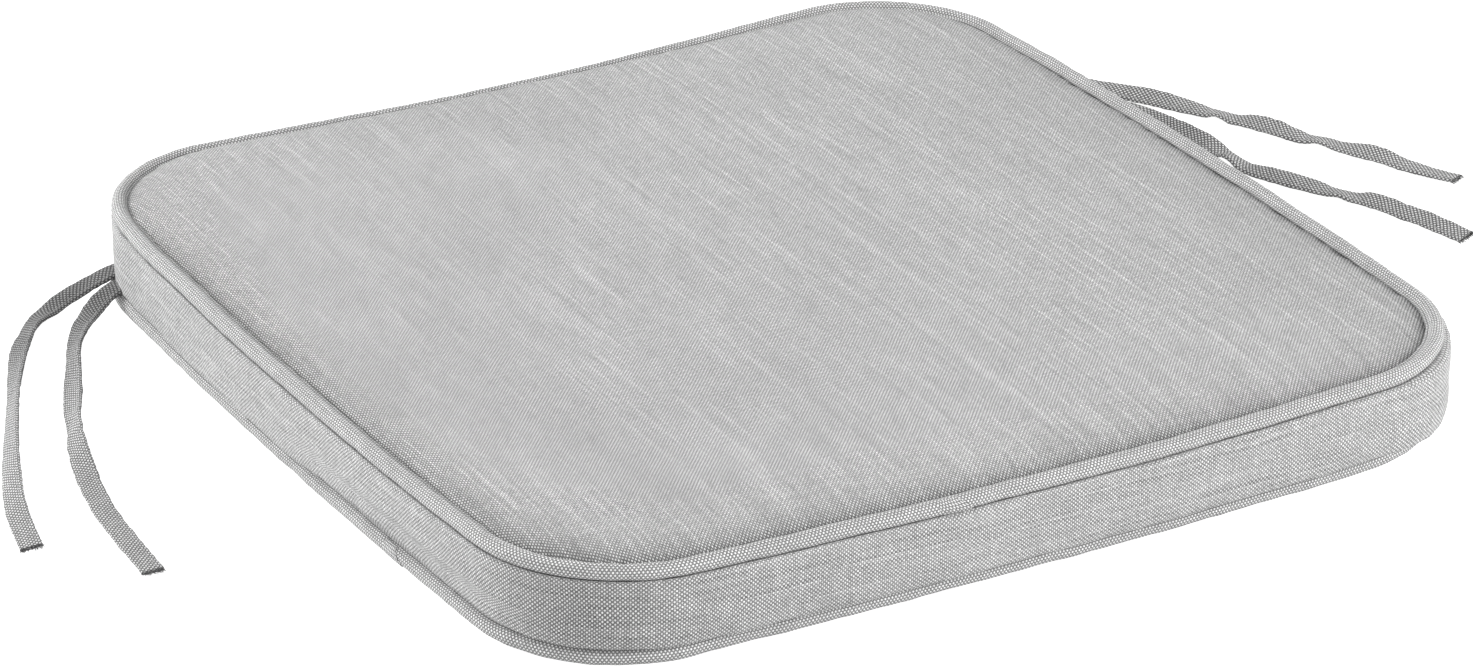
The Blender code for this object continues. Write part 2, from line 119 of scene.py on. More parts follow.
# ----------------------------------------------------------- patterns in nodes
class Field:
    """A number inside a material's node tree, so that a pattern reads like a sum."""

    def __init__(self, tree, socket):
        self.tree, self.socket = tree, socket

    def op(self, kind, other=None, swap=False, third=None):
        node = self.tree.nodes.new('ShaderNodeMath')
        node.operation = kind
        values = [self, other] if not swap else [other, self]
        if third is not None:
            values.append(third)
        for i, v in enumerate(values):
            if isinstance(v, Field):
                self.tree.links.new(v.socket, node.inputs[i])
            elif v is not None:
                node.inputs[i].default_value = v
        return Field(self.tree, node.outputs[0])

    def __add__(self, o): return self.op('ADD', o)
    def __radd__(self, o): return self.op('ADD', o)
    def __sub__(self, o): return self.op('SUBTRACT', o)
    def __rsub__(self, o): return self.op('SUBTRACT', o, swap=True)
    def __mul__(self, o): return self.op('MULTIPLY', o)
    def __rmul__(self, o): return self.op('MULTIPLY', o)
    def __truediv__(self, o): return self.op('DIVIDE', o)
    def __pow__(self, o): return self.op('POWER', o)
    def floor(self): return self.op('FLOOR')
    def cos(self): return self.op('COSINE')
    def sin(self): return self.op('SINE')
    def abs(self): return self.op('ABSOLUTE')
    def mod(self, o): return self.op('FLOORED_MODULO', o)
    def above(self, o): return self.op('GREATER_THAN', o)
    def least(self, o): return self.op('MAXIMUM', o)
    def most(self, o): return self.op('MINIMUM', o)

    def step(self, low, high):
        node = self.tree.nodes.new('ShaderNodeMapRange')
        node.interpolation_type = 'SMOOTHSTEP'
        self.tree.links.new(self.socket, node.inputs['Value'])
        node.inputs['From Min'].default_value = low
        node.inputs['From Max'].default_value = high
        return Field(self.tree, node.outputs['Result'])


def pack(tree, *values):
    node = tree.nodes.new('ShaderNodeCombineXYZ')
    for i, v in enumerate(values):
        if isinstance(v, Field):
            tree.links.new(v.socket, node.inputs[i])
        else:
            node.inputs[i].default_value = v
    return node.outputs[0]


def noise(tree, vector, scale=1.0, detail=0.0, rough=0.5):
    node = tree.nodes.new('ShaderNodeTexNoise')
    node.noise_dimensions = '3D'
    tree.links.new(vector, node.inputs['Vector'])
    node.inputs['Scale'].default_value = scale
    node.inputs['Detail'].default_value = detail
    node.inputs['Roughness'].default_value = rough
    return Field(tree, node.outputs['Fac'] if 'Fac' in node.outputs else node.outputs[0])


def hash_of(tree, vector):
    node = tree.nodes.new('ShaderNodeTexWhiteNoise')
    node.noise_dimensions = '3D'
    tree.links.new(vector, node.inputs['Vector'])
    return Field(tree, node.outputs['Value'])


def new_material(name):
    mat = bpy.data.materials.new(name)
    mat.use_nodes = True
    tree = mat.node_tree
    return mat, tree, tree.nodes['Principled BSDF']


def cloth_coordinates(tree, source):
    """(across, along) in metres, from the piece's own map or from its place."""
    if source == 'map':
        node = tree.nodes.new('ShaderNodeUVMap')
        node.uv_map = "weave"
        vector = node.outputs[0]
    else:
        node = tree.nodes.new('ShaderNodeTexCoord')
        vector = node.outputs['Object']
    split = tree.nodes.new('ShaderNodeSeparateXYZ')
    tree.links.new(vector, split.inputs[0])
    return Field(tree, split.outputs[0]), Field(tree, split.outputs[1]), vector


def canvas(name, tone=0.5, bias=0.0, pitch=(YARN_U, YARN_V), end_light=1.30,
           pick_light=0.62, gap=0.16, heather=0.30, slub=0.22, depth=0.20,
           rib=0.0, wander=0.30, painted_shade=None, painted_shade_ramp=None, pick_slub=0.0, speckle=1.1):
    """Heathered plain-weave canvas: light ends that run along the map's second
    direction over darker picks, each yarn with its own slubs, and painted shade in
    the low gaps between yarns, down to gap times the tone.  fade paints shade where the piece's "seam" attribute is
    high.
    painted_shade_ramp is (axis, from, to, factor): painted shade that darkens the cloth slowly across the piece's own
    place, to factor times its tone at to."""
    mat, tree, bsdf = new_material(name)
    x, y, vector = cloth_coordinates(tree, 'map')
    if bias:
        c, s = math.cos(math.radians(bias)), math.sin(math.radians(bias))
        x, y = x * c + y * s, y * c - x * s
    u, v = x / pitch[0], y / pitch[1]
    # no yarn lies quite straight
    drift = noise(tree, pack(tree, u * 0.05, v * 0.05, 3.1), detail=1.0) - 0.5
    drift2 = noise(tree, pack(tree, u * 0.05, v * 0.05, 9.7), detail=1.0) - 0.5
    u = u + drift * wander * 2
    v = v + drift2 * wander * 2
    iu, iv = u.floor(), v.floor()
    fu, fv = u - iu - 0.5, v - iv - 0.5
    over = (iu + iv).mod(2.0)
    ce = (fu * math.pi).cos().least(0.0)
    cp = (fv * math.pi).cos().least(0.0)
    end_h = (ce ** 0.7) * (cp * 0.45 + 0.55)
    pick_h = (cp ** 0.7) * (ce * 0.45 + 0.55)
    h = pick_h + (end_h - pick_h) * over
    if rib:
        h = h * (1 - rib) + (ce ** 0.7) * rib
    # heather: slow changes along every yarn, quick ones from crossing to crossing
    along_end = noise(tree, pack(tree, iu * 3.71, v * 0.055, 0.3), detail=1.0) - 0.5
    along_pick = noise(tree, pack(tree, iv * 2.93, u * 0.07, 7.9), detail=1.0) - 0.5
    spots = hash_of(tree, pack(tree, iu, iv, 1.7)) - 0.5
    long_slub = noise(tree, pack(tree, iu * 5.31, v * 0.012, 12.4)).step(0.60, 0.74)
    dark_slub = noise(tree, pack(tree, iu * 4.17, v * 0.020, 31.4)).step(0.58, 0.74)
    end_tone = along_end * heather * 1.8 + long_slub * slub - dark_slub * slub * 0.8 + end_light
    pick_tone = along_pick * heather + long_slub * slub * 0.6 + pick_light
    if pick_slub:
        light_pick = noise(tree, pack(tree, iv * 5.93, u * 0.014, 51.7)).step(0.56, 0.72)
        dark_pick = noise(tree, pack(tree, iv * 4.71, u * 0.020, 67.2)).step(0.56, 0.72)
        change = (light_pick - dark_pick) * pick_slub
        pick_tone = pick_tone + change
        end_tone = end_tone + change * 0.5
    shade = pick_tone + (end_tone - pick_tone) * over
    shade = shade * (spots * heather * speckle + 1.0)
    # painted shade: the low gaps between the yarns are darkened, down to gap times the tone
    shade = shade * (h.step(0.05, 0.72) * (1.0 - gap) + gap)
    cloud = noise(tree, pack(tree, x * 16.0, y * 16.0, 4.2), detail=2.0) - 0.5
    shade = shade * (cloud * 0.16 + 1.0)
    # painted shade in seam creases and in corners and recesses that lie in shade, read from the "seam" attribute; the
    # raised end dots keep most of their light
    if painted_shade:
        node = tree.nodes.new('ShaderNodeAttribute')
        node.attribute_name = "seam"
        hidden = 1.0 - over * h.step(0.35, 0.80) * 0.72
        shade = shade * (1.0 - Field(tree, node.outputs['Fac']) * painted_shade * hidden)
    # painted shade: a slow darkening across the piece's own place
    if painted_shade_ramp:
        axis, start, end, factor = painted_shade_ramp
        place = tree.nodes.new('ShaderNodeTexCoord')
        split = tree.nodes.new('ShaderNodeSeparateXYZ')
        tree.links.new(place.outputs['Object'], split.inputs[0])
        at = Field(tree, split.outputs[axis]).step(min(start, end), max(start, end))
        at = at if start < end else 1.0 - at
        shade = shade * (at * (factor - 1.0) + 1.0)
    shade = (shade * tone).most(0.95).least(0.015)
    tree.links.new(shade.socket, bsdf.inputs['Base Color'])
    rough = h * -0.10 + 0.95
    tree.links.new(rough.socket, bsdf.inputs['Roughness'])
    bsdf.inputs['Specular IOR Level'].default_value = 0.25
    bsdf.inputs['Sheen Weight'].default_value = 0.08
    bsdf.inputs['Sheen Roughness'].default_value = 0.5
    fuzz = noise(tree, vector, scale=5200.0, detail=1.0)
    bump = tree.nodes.new('ShaderNodeBump')
    bump.inputs['Strength'].default_value = 0.8
    bump.inputs['Distance'].default_value = depth * MM
    tree.links.new((h + fuzz * 0.25).socket, bump.inputs['Height'])
    tree.links.new(bump.outputs[0], bsdf.inputs['Normal'])
    return mat


# ------------------------------------------------------------------ mesh tools
def from_arrays(name, points, quads, uv=None, smooth=True):
    """A mesh object from numpy arrays: vertices, faces of equal size, and a map."""
    mesh = bpy.data.meshes.new(name)
    n = quads.shape[1]
    mesh.vertices.add(len(points))
    mesh.vertices.foreach_set("co", np.ascontiguousarray(points, np.float32).ravel())
    mesh.loops.add(quads.size)
    mesh.loops.foreach_set("vertex_index", np.ascontiguousarray(quads, np.int32).ravel())
    mesh.polygons.add(len(quads))
    mesh.polygons.foreach_set("loop_start", np.arange(0, quads.size, n, dtype=np.int32))
    mesh.polygons.foreach_set("loop_total", np.full(len(quads), n, np.int32))
    mesh.update(calc_edges=True)
    mesh.validate()
    if smooth:
        mesh.polygons.foreach_set("use_smooth", np.ones(len(quads), bool))
    if uv is not None:
        layer = mesh.uv_layers.new(name="weave")
        layer.uv.foreach_set("vector", np.ascontiguousarray(uv, np.float32).ravel())
    obj = bpy.data.objects.new(name, mesh)
    scene.collection.objects.link(obj)
    return obj


def sheet_faces(ni, nj, wrap_i=False, wrap_j=False, flip=False, first=0):
    """Quads over an ni by nj grid of points, and the grid place of each corner."""
    i = np.arange(ni if wrap_i else ni - 1)
    j = np.arange(nj if wrap_j else nj - 1)
    I, J = np.meshgrid(i, j, indexing='ij')
    I, J = I.ravel(), J.ravel()
    corners_i = np.stack([I, I + 1, I + 1, I], 1)
    corners_j = np.stack([J, J, J + 1, J + 1], 1)
    if flip:
        corners_i, corners_j = corners_i[:, ::-1], corners_j[:, ::-1]
    quads = (corners_i % ni) * nj + (corners_j % nj) + first
    return quads, corners_i, corners_j


def grid_object(name, P, uv_i, uv_j, wrap_i=False, wrap_j=False, flip=False):
    """A grid of points as one smooth sheet.  uv_i and uv_j give the map's two
    coordinates along the grid, each one longer than the grid where it wraps."""
    ni, nj = P.shape[:2]
    quads, ci, cj = sheet_faces(ni, nj, wrap_i, wrap_j, flip)
    uv = np.stack([np.asarray(uv_j)[cj], np.asarray(uv_i)[ci]], -1)
    return from_arrays(name, P.reshape(-1, 3), quads, uv)


def baked(obj, name=None):
    """The object with its modifiers applied, as a new mesh on the same object."""
    dg = bpy.context.evaluated_depsgraph_get()
    mesh = bpy.data.meshes.new_from_object(obj.evaluated_get(dg), depsgraph=dg)
    old = obj.data
    obj.modifiers.clear()
    obj.data = mesh
    bpy.data.meshes.remove(old)
    mesh.name = name or obj.name
    return obj


def coords(obj):
    co = np.zeros(len(obj.data.vertices) * 3, np.float32)
    obj.data.vertices.foreach_get("co", co)
    return co.reshape(-1, 3).astype(float)


def set_coords(obj, co):
    obj.data.vertices.foreach_set("co", np.ascontiguousarray(co, np.float32).ravel())
    obj.data.update()


def store_painted_shade(obj, value):
    """Keeps, for each point, how much painted shade the cloth gets there: in the crease by a seam, or where a corner or
    recess lies in shade.
    """
    old = obj.data.attributes.get("seam")
    if old:
        obj.data.attributes.remove(old)
    layer = obj.data.attributes.new("seam", 'FLOAT', 'POINT')
    layer.data.foreach_set("value", np.ascontiguousarray(value, np.float32))


def solid(obj, thickness, offset=-1.0):
    mod = obj.modifiers.new("thickness", 'SOLIDIFY')
    mod.thickness = thickness
    mod.offset = offset
    mod.use_even_offset = False
    return obj


def finish(obj, material, body="root", replaces=()):
    obj.data.materials.clear()
    obj.data.materials.append(material)
    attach(obj, body)
    if replaces:
        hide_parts(*replaces)
    return obj


# ------------------------------------------------------------------- seam line
def dense_seam(steps=90, pieces=160):
    half = SEAM_DEPTH / 2
    square = np.array([(-HALF_FRONT, -half), (HALF_FRONT, -half),
                       (HALF_REAR, half), (-HALF_REAR, half)])
    radii = [R_FRONT, R_FRONT, R_REAR, R_REAR]
    arcs = []
    for i in range(4):
        here = square[i]
        back = square[i - 1] - here
        on = square[(i + 1) % 4] - here
        back, on = back / np.linalg.norm(back), on / np.linalg.norm(on)
        angle = math.acos(float(back @ on))
        run = radii[i] / math.tan(angle / 2)
        way = (back + on) / np.linalg.norm(back + on)
        middle = here + way * radii[i] / math.sin(angle / 2)
        first, last = here + back * run - middle, here + on * run - middle
        a0, a1 = math.atan2(first[1], first[0]), math.atan2(last[1], last[0])
        if a1 < a0:
            a1 += 2 * math.pi
        a = a0 + (a1 - a0) * np.arange(steps + 1) / steps
        arcs.append(middle + radii[i] * np.stack([np.cos(a), np.sin(a)], 1))
    points = []
    for i in range(4):
        points.append(arcs[i])
        start, end = arcs[i][-1], arcs[(i + 1) % 4][0]
        points.append(start + (end - start) * (np.arange(1, pieces)[:, None] / pieces))
    p = np.concatenate(points)
    side = 1 - (p[:, 1] / half) ** 2
    width = HALF_FRONT * (0.5 - p[:, 1] / SEAM_DEPTH) + HALF_REAR * (0.5 + p[:, 1] / SEAM_DEPTH)
    x = p[:, 0] * (1 + BOW_SIDE * side / width)
    t = np.minimum(np.abs(p[:, 0]) / REAR_HOLLOW, 1.0)
    y = np.where(p[:, 1] < 0,
                 p[:, 1] * (1 + BOW_FRONT * (1 - (p[:, 0] / width) ** 2) / half),
                 p[:, 1] * (1 - REAR_DRAW_IN * (1 - t * t) ** 2 / half))
    p = np.stack([x, y + SEAM_SHIFT], 1)
    # start at the middle of the rear, and go anticlockwise
    rear = np.where(p[:, 1] > 0, np.abs(p[:, 0]), 9.0)
    return np.roll(p, -int(np.argmin(rear)), axis=0)


def build_seam():
    p = dense_seam()
    closed = np.vstack([p, p[:1]])
    run = np.concatenate([[0], np.cumsum(np.linalg.norm(np.diff(closed, axis=0), axis=1))])
    length = run[-1]
    s = np.arange(4096) * length / 4096
    q = np.stack([np.interp(s, run, closed[:, 0]), np.interp(s, run, closed[:, 1])], 1)
    t = np.roll(q, -6, axis=0) - np.roll(q, 6, axis=0)
    t /= np.linalg.norm(t, axis=1)[:, None]
    n = np.stack([t[:, 1], -t[:, 0]], 1)
    return s, q, n, length


SEAM_S, SEAM_P, SEAM_N, SEAM_LENGTH = build_seam()


def seam(s):
    """Points and outward normals of the seam line at distances along it."""
    s = np.asarray(s) % SEAM_LENGTH
    w = np.append(SEAM_S, SEAM_LENGTH)
    p = np.vstack([SEAM_P, SEAM_P[:1]])
    n = np.vstack([SEAM_N, SEAM_N[:1]])
    P = np.stack([np.interp(s, w, p[:, 0]), np.interp(s, w, p[:, 1])], -1)
    N = np.stack([np.interp(s, w, n[:, 0]), np.interp(s, w, n[:, 1])], -1)
    return P, N / np.linalg.norm(N, axis=-1)[..., None]


def seam_at(point):
    """Distance along the seam of its point nearest to a place in plan."""
    return float(SEAM_S[np.argmin(np.linalg.norm(SEAM_P - np.asarray(point), axis=1))])


def nearest_on_seam(xy):
    """For each place in plan: how far in from the seam, and how far along it."""
    d, s = np.empty(len(xy)), np.empty(len(xy))
    coarse = SEAM_P[::4]
    for k in range(0, len(xy), 4096):
        part = xy[k:k + 4096]
        gap = np.linalg.norm(part[:, None] - coarse[None], axis=2)
        best = gap.argmin(1)
        d[k:k + 4096] = gap[np.arange(len(part)), best]
        s[k:k + 4096] = SEAM_S[::4][best]
    return d, s


def waves(s, seed, short, long, count=14):
    """Even, repeatable unevenness along the seam loop, about -1 to 1."""
    rng = np.random.default_rng(seed)
    k = np.round(SEAM_LENGTH / np.exp(rng.uniform(math.log(short), math.log(long), count)))
    phase = rng.uniform(0, 2 * math.pi, count)
    size = rng.uniform(0.6, 1.3, count)
    s = np.asarray(s)[..., None]
    return (size * np.cos(2 * math.pi * k * s / SEAM_LENGTH + phase)).sum(-1) / (0.9 * math.sqrt(2 * count))


def patches(xy, seed, short, long, count=24):
    """The same over a plane."""
    rng = np.random.default_rng(seed)
    k = 2 * math.pi / np.exp(rng.uniform(math.log(short), math.log(long), count))
    turn = rng.uniform(0, math.pi, count)
    phase = rng.uniform(0, 2 * math.pi, count)
    way = np.stack([np.cos(turn), np.sin(turn)], 0) * k
    return np.cos(np.asarray(xy) @ way + phase).sum(-1) / (0.9 * math.sqrt(2 * count))


def around(s, keys):
    """A value that goes smoothly round the pad between those given at places in
    plan, as ((x, y), value)."""
    at = sorted((seam_at(p), v) for p, v in keys)
    w = np.array([a for a, _ in at])
    v = np.array([b for _, b in at], float)
    w = np.concatenate([[w[-1] - SEAM_LENGTH], w, [w[0] + SEAM_LENGTH]])
    v = np.concatenate([[v[-1]], v, [v[0]]])
    s = np.asarray(s, float) % SEAM_LENGTH
    k = np.clip(np.searchsorted(w, s, side='right') - 1, 0, len(w) - 2)
    t = (s - w[k]) / (w[k + 1] - w[k])
    return v[k] + (v[k + 1] - v[k]) * t * t * (3 - 2 * t)


REAR, REAR_LEFT, LEFT_BACK, LEFT, LEFT_FORE = (0, 0.19), (-0.18, 0.18), (-0.2, 0.10), (-0.2, 0.03), (-0.2, -0.08)
FRONT_LEFT, FRONT_A, FRONT_B = (-0.18, -0.18), (-0.11, -0.2), (-0.03, -0.2)
FRONT_C, FRONT_D, FRONT_RIGHT = (0.05, -0.2), (0.13, -0.2), (0.18, -0.18)
RIGHT, REAR_RIGHT = (0.2, 0.0), (0.18, 0.18)


def top_piping_place(s):
    """Where the centre of the upper piping runs: out from the seam, and up."""
    out = around(s, [(REAR, 0), (REAR_LEFT, -0.9), ((-0.2, 0.155), -1.9), ((-0.2, 0.12), -0.3),
                     (LEFT, 0), (FRONT_LEFT, 0), (FRONT_RIGHT, 0.2), (RIGHT, 0), (REAR_RIGHT, -0.5)])
    up = around(s, [(REAR, -1.0), (REAR_LEFT, -0.5), (LEFT_BACK, 0.4), (LEFT, 0.1), (LEFT_FORE, 0.0),
                    (FRONT_LEFT, 0.7), (FRONT_A, 0.6), (FRONT_B, 0.2), (FRONT_C, -0.3),
                    (FRONT_D, 0.1), (FRONT_RIGHT, 0.2), (RIGHT, 0.2), (REAR_RIGHT, 0.0)])
    return (out * MM + 0.14 * MM * waves(s, 60, 0.03, 0.12),
            up * MM + 0.12 * MM * waves(s, 61, 0.03, 0.10))


def low_piping_place(s):
    """The same for the lower piping, which the pad's weight rolls under."""
    out = around(s, [(REAR, 0), (REAR_LEFT, -0.2), (LEFT_BACK, -0.5), (LEFT, -0.8), (LEFT_FORE, 0.2),
                     (FRONT_LEFT, -0.4), (FRONT_A, -2.0), (FRONT_B, -2.6), (FRONT_C, -2.2),
                     (FRONT_D, -1.4), (FRONT_RIGHT, -2.2), (RIGHT, -1.2), (REAR_RIGHT, -0.2)])
    up = around(s, [(REAR, 0), (LEFT_BACK, 0), (LEFT, 0.0), (LEFT_FORE, 1.0), (FRONT_LEFT, 0.0),
                    (FRONT_A, 0.4), (FRONT_B, 0.7), (FRONT_C, 0.4), (FRONT_D, 0.0), (FRONT_RIGHT, 0.2),
                    (RIGHT, 0.1), (REAR_RIGHT, 0)])
    return (out * MM + 0.15 * MM * waves(s, 70, 0.03, 0.12),
            np.maximum(up * MM + 0.12 * MM * waves(s, 71, 0.03, 0.10), 0.0))


def smoothstep(t, a, b):
    t = np.clip((np.asarray(t, float) - a) / (b - a), 0, 1)
    return t * t * (3 - 2 * t)


def through(points, t):
    """A smooth curve through points, at places along it from 0 to their count - 1."""
    p = np.asarray(points, float)
    q = np.vstack([2 * p[0] - p[1], p, 2 * p[-1] - p[-2]])
    k = np.clip(np.floor(t).astype(int), 0, len(p) - 2)
    f = (t - k)[..., None]
    p0, p1, p2, p3 = q[k], q[k + 1], q[k + 2], q[k + 3]
    return 0.5 * (2 * p1 + (p2 - p0) * f + (2 * p0 - 5 * p1 + 4 * p2 - p3) * f ** 2
                  + (3 * p1 - p0 - 3 * p2 + p3) * f ** 3)


# ----------------------------------------------------------------- top and bottom
CORNERS = [seam_at((-0.19, -0.19)), seam_at((0.19, -0.19)),
           seam_at((0.19, 0.19)) , seam_at((-0.19, 0.19))]


def ring_places(per_side):
    """Distances along the seam, split evenly between the middles of the corners."""
    out = []
    for k in range(4):
        a, b = CORNERS[k], CORNERS[(k + 1) % 4]
        if b < a:
            b += SEAM_LENGTH
        out.append(a + (b - a) * np.arange(per_side) / per_side)
    return np.concatenate(out)


def plan_mesh(name, per_side, insets, flip=False):
    """A panel in plan: rings that follow the seam, then one even patch inside."""
    s = ring_places(per_side)
    P, N = seam(s)
    rings = np.stack([P - N * d for d in insets])          # ring, place, xy
    n = len(s)
    verts = [rings.reshape(-1, 2)]
    quads = []
    for r in range(len(insets) - 1):
        i = np.arange(n)
        j = (i + 1) % n
        quads.append(np.stack([r * n + i, r * n + j, (r + 1) * n + j, (r + 1) * n + i], 1))
    loop = rings[-1]
    m = per_side
    front, right = loop[:m + 1], loop[m:2 * m + 1]
    rear = loop[2 * m:3 * m + 1][::-1]
    left = np.vstack([loop[3 * m:], loop[:1]])[::-1]
    t = np.arange(m + 1) / m
    U, V = t[:, None, None], t[None, :, None]
    coons = ((1 - V) * front[:, None] + V * rear[:, None]
             + (1 - U) * left[None] + U * right[None]
             - ((1 - U) * (1 - V) * front[0] + U * (1 - V) * front[-1]
                + (1 - U) * V * rear[0] + U * V * rear[-1]))
    index = np.full((m + 1, m + 1), -1)
    base = (len(insets) - 1) * n
    index[:, 0] = base + np.arange(m + 1)
    index[m, :] = base + m + np.arange(m + 1)
    index[::-1, m] = base + 2 * m + np.arange(m + 1)
    index[0, ::-1] = base + (3 * m + np.arange(m + 1)) % n
    inner = coons[1:m, 1:m].reshape(-1, 2)
    index[1:m, 1:m] = len(insets) * n + np.arange((m - 1) ** 2).reshape(m - 1, m - 1)
    verts.append(inner)
    a, b = index[:-1, :-1].ravel(), index[1:, :-1].ravel()
    c, d = index[1:, 1:].ravel(), index[:-1, 1:].ravel()
    quads.append(np.stack([a, b, c, d], 1))
    quads = np.concatenate(quads)
    if flip:
        quads = quads[:, ::-1]
    xy = np.concatenate(verts)
    points = np.column_stack([xy, np.zeros(len(xy))])
    obj = from_arrays(name, points, quads)
    return obj, n


def planar_map(obj):
    """Maps the weave straight down on a panel."""
    mesh = obj.data
    layer = mesh.uv_layers.get("weave") or mesh.uv_layers.new(name="weave")
    index = np.zeros(len(mesh.loops), np.int32)
    mesh.loops.foreach_get("vertex_index", index)
    layer.uv.foreach_set("vector", np.ascontiguousarray(coords(obj)[index, :2], np.float32).ravel())


def top_profile(d, s):
    """Height of the top panel at a distance in from the seam line.  It drops deep
    beside the piping, and the filling crowns it sooner at the rear than on the right."""
    soft = around(s, [(REAR, 4.3), (REAR_LEFT, 6.5), (LEFT_BACK, 8), (LEFT, 8.5), (LEFT_FORE, 8.5),
                      (FRONT_LEFT, 8.5), (FRONT_A, 9), (FRONT_C, 10), (FRONT_D, 14), (FRONT_RIGHT, 18),
                      (RIGHT, 22), (REAR_RIGHT, 10)]) * MM
    rise = 1 - np.exp(-np.maximum(d - 2.9 * MM, 0) / soft)
    _, up = top_piping_place(s)
    return 34.8 * MM + 0.8 * up * np.exp(-d / (12 * MM)) + 7.3 * MM * rise


def smoothed(obj, co, free, rounds):
    """Evens out the heights of the free points of a mesh."""
    edges = np.zeros(len(obj.data.edges) * 2, np.int32)
    obj.data.edges.foreach_get("vertices", edges)
    a, b = edges.reshape(-1, 2).T
    count = np.bincount(a, minlength=len(co)) + np.bincount(b, minlength=len(co))
    z = co[:, 2].copy()
    for _ in range(rounds):
        total = np.bincount(a, z[b], len(co)) + np.bincount(b, z[a], len(co))
        z = z + free * 0.8 * (total / count - z)
    co[:, 2] = z
    return co


def relax(obj, keep, cap, frames=20):
    """Lets the cloth of a panel settle under the push of its filling.  keep is how
    firmly each point is held, and no point moves further than cap."""
    before = coords(obj)
    group = obj.vertex_groups.new(name="held")
    for weight in np.unique(keep):
        group.add([int(i) for i in np.nonzero(keep == weight)[0]], float(weight), 'REPLACE')
    mod = obj.modifiers.new("cloth", 'CLOTH')
    settings = mod.settings
    settings.quality = 6
    settings.mass = 0.25
    settings.tension_stiffness = settings.compression_stiffness = 22
    settings.shear_stiffness = 12
    settings.bending_stiffness = 0.6
    settings.tension_damping = settings.compression_damping = 12
    settings.air_damping = 3
    settings.vertex_group_mass = "held"
    settings.pin_stiffness = 4.0
    settings.shrink_min = -0.012
    settings.use_pressure = True
    settings.uniform_pressure_force = 4.0
    settings.effector_weights.gravity = 0.0
    mod.collision_settings.use_collision = False
    mod.collision_settings.use_self_collision = False
    mod.point_cache.frame_start = 1
    mod.point_cache.frame_end = frames
    for f in range(1, frames + 1):
        scene.frame_set(f)
    dg = bpy.context.evaluated_depsgraph_get()
    after = np.zeros(len(before) * 3, np.float32)
    obj.evaluated_get(dg).data.vertices.foreach_get("co", after)
    obj.modifiers.clear()
    obj.vertex_groups.clear()
    scene.frame_set(1)
    move = after.reshape(-1, 3).astype(float) - before
    size = np.linalg.norm(move, axis=1)
    print("relax", obj.name, "largest", size.max() / MM, "mean", size.mean() / MM)
    move *= (cap * np.tanh(size / cap) / np.maximum(size, 1e-9))[:, None]
    set_coords(obj, before + move)
    return move


def build_top(material):
    insets = np.array([1.9, 2.5, 3.1, 3.8, 4.7, 5.8, 7.2, 9.0, 11.5, 14.5, 18, 22, 27, 32]) * MM
    obj, n = plan_mesh("top_panel_cloth", 80, insets)
    co = coords(obj)
    d, s = nearest_on_seam(co[:, :2])
    ring = np.repeat(insets, n)
    d[:len(ring)] = ring
    s[:len(ring)] = np.tile(ring_places(80) % SEAM_LENGTH, len(insets))
    co[:, 2] = top_profile(d, s)
    co = smoothed(obj, co, smoothstep(d, 14 * MM, 40 * MM), 160)
    # the filling is a little uneven, and the seam draws the cloth in
    inside = smoothstep(d, 8 * MM, 45 * MM)
    co[:, 2] += inside * (0.55 * MM * patches(co[:, :2], 11, 0.07, 0.18)
                          + 0.16 * MM * patches(co[:, :2], 12, 0.025, 0.06))
    # a short soft crease left of the middle
    across = (co[:, 1] + 0.045) * 0.95 + (co[:, 0] + 0.075) * 0.30
    along = (co[:, 0] + 0.075) * 0.95 - (co[:, 1] + 0.045) * 0.30
    co[:, 2] -= 0.28 * MM * np.exp(-(across / 0.0035) ** 2 - (along / 0.035) ** 2)
    out, _ = top_piping_place(s)
    hold = out * np.exp(-np.maximum(d - 2 * MM, 0) / (9 * MM))
    _, N = seam(s)
    co[:, :2] += N * hold[:, None]
    set_coords(obj, co)
    held = np.where(d < 3.5 * MM, 1.0, np.where(d < 12 * MM, 0.35, 0.55))
    relax(obj, held, 1.2 * MM)
    sub = obj.modifiers.new("fine", 'SUBSURF')
    sub.levels = sub.render_levels = 1
    baked(obj)
    co = coords(obj)
    d, s = nearest_on_seam(co[:, :2])
    near = np.exp(-np.maximum(d - 3 * MM, 0) / (6 * MM)) * smoothstep(d, 2.2 * MM, 4.5 * MM)
    co[:, 2] += near * (0.20 * MM * waves(s, 21, 0.006, 0.018, 22)
                        + 0.30 * MM * waves(s, 22, 0.03, 0.09))
    set_coords(obj, co)
    planar_map(obj)
    # painted shade: the top darkens in the ditch beside the upper piping, most at the seam
    store_painted_shade(obj, np.exp(-np.maximum(d - 3 * MM, 0) / (4.5 * MM)))
    obj.name = obj.data.name = "top_cloth"
    solid(obj, FABRIC_T)
    return finish(obj, material, replaces=["top_panel"])


def build_bottom(material):
    insets = np.array([1.8, 2.4, 3.1, 4.0, 5.2, 7.0, 9.5, 13, 18, 25, 32]) * MM
    obj, n = plan_mesh("bottom_cloth", 70, insets, flip=True)
    co = coords(obj)
    d, s = nearest_on_seam(co[:, :2])
    d[:n * len(insets)] = np.repeat(insets, n)
    lip = np.exp(-np.maximum(d - 1.9 * MM, 0) / (1.6 * MM))
    z = 0.15 * MM + 2.6 * MM * lip
    near = np.exp(-np.maximum(d - 3 * MM, 0) / (7 * MM)) * smoothstep(d, 2.2 * MM, 4.5 * MM)
    z += near * 0.25 * MM * (1 + waves(s, 31, 0.007, 0.02, 22))
    z += smoothstep(d, 8 * MM, 40 * MM) * 0.18 * MM * (1 + patches(co[:, :2], 33, 0.02, 0.09))
    s[:n * len(insets)] = np.tile(ring_places(70) % SEAM_LENGTH, len(insets))
    out, up = low_piping_place(s)
    ease = np.exp(-np.maximum(d - 2 * MM, 0) / (10 * MM))
    _, N = seam(s)
    co[:, :2] += N * (out * ease)[:, None]
    co[:, 2] = z + up * ease
    set_coords(obj, co)
    sub = obj.modifiers.new("fine", 'SUBSURF')
    sub.levels = sub.render_levels = 1
    baked(obj)
    planar_map(obj)
    solid(obj, FABRIC_T)
    return finish(obj, material, replaces=["bottom_panel"])


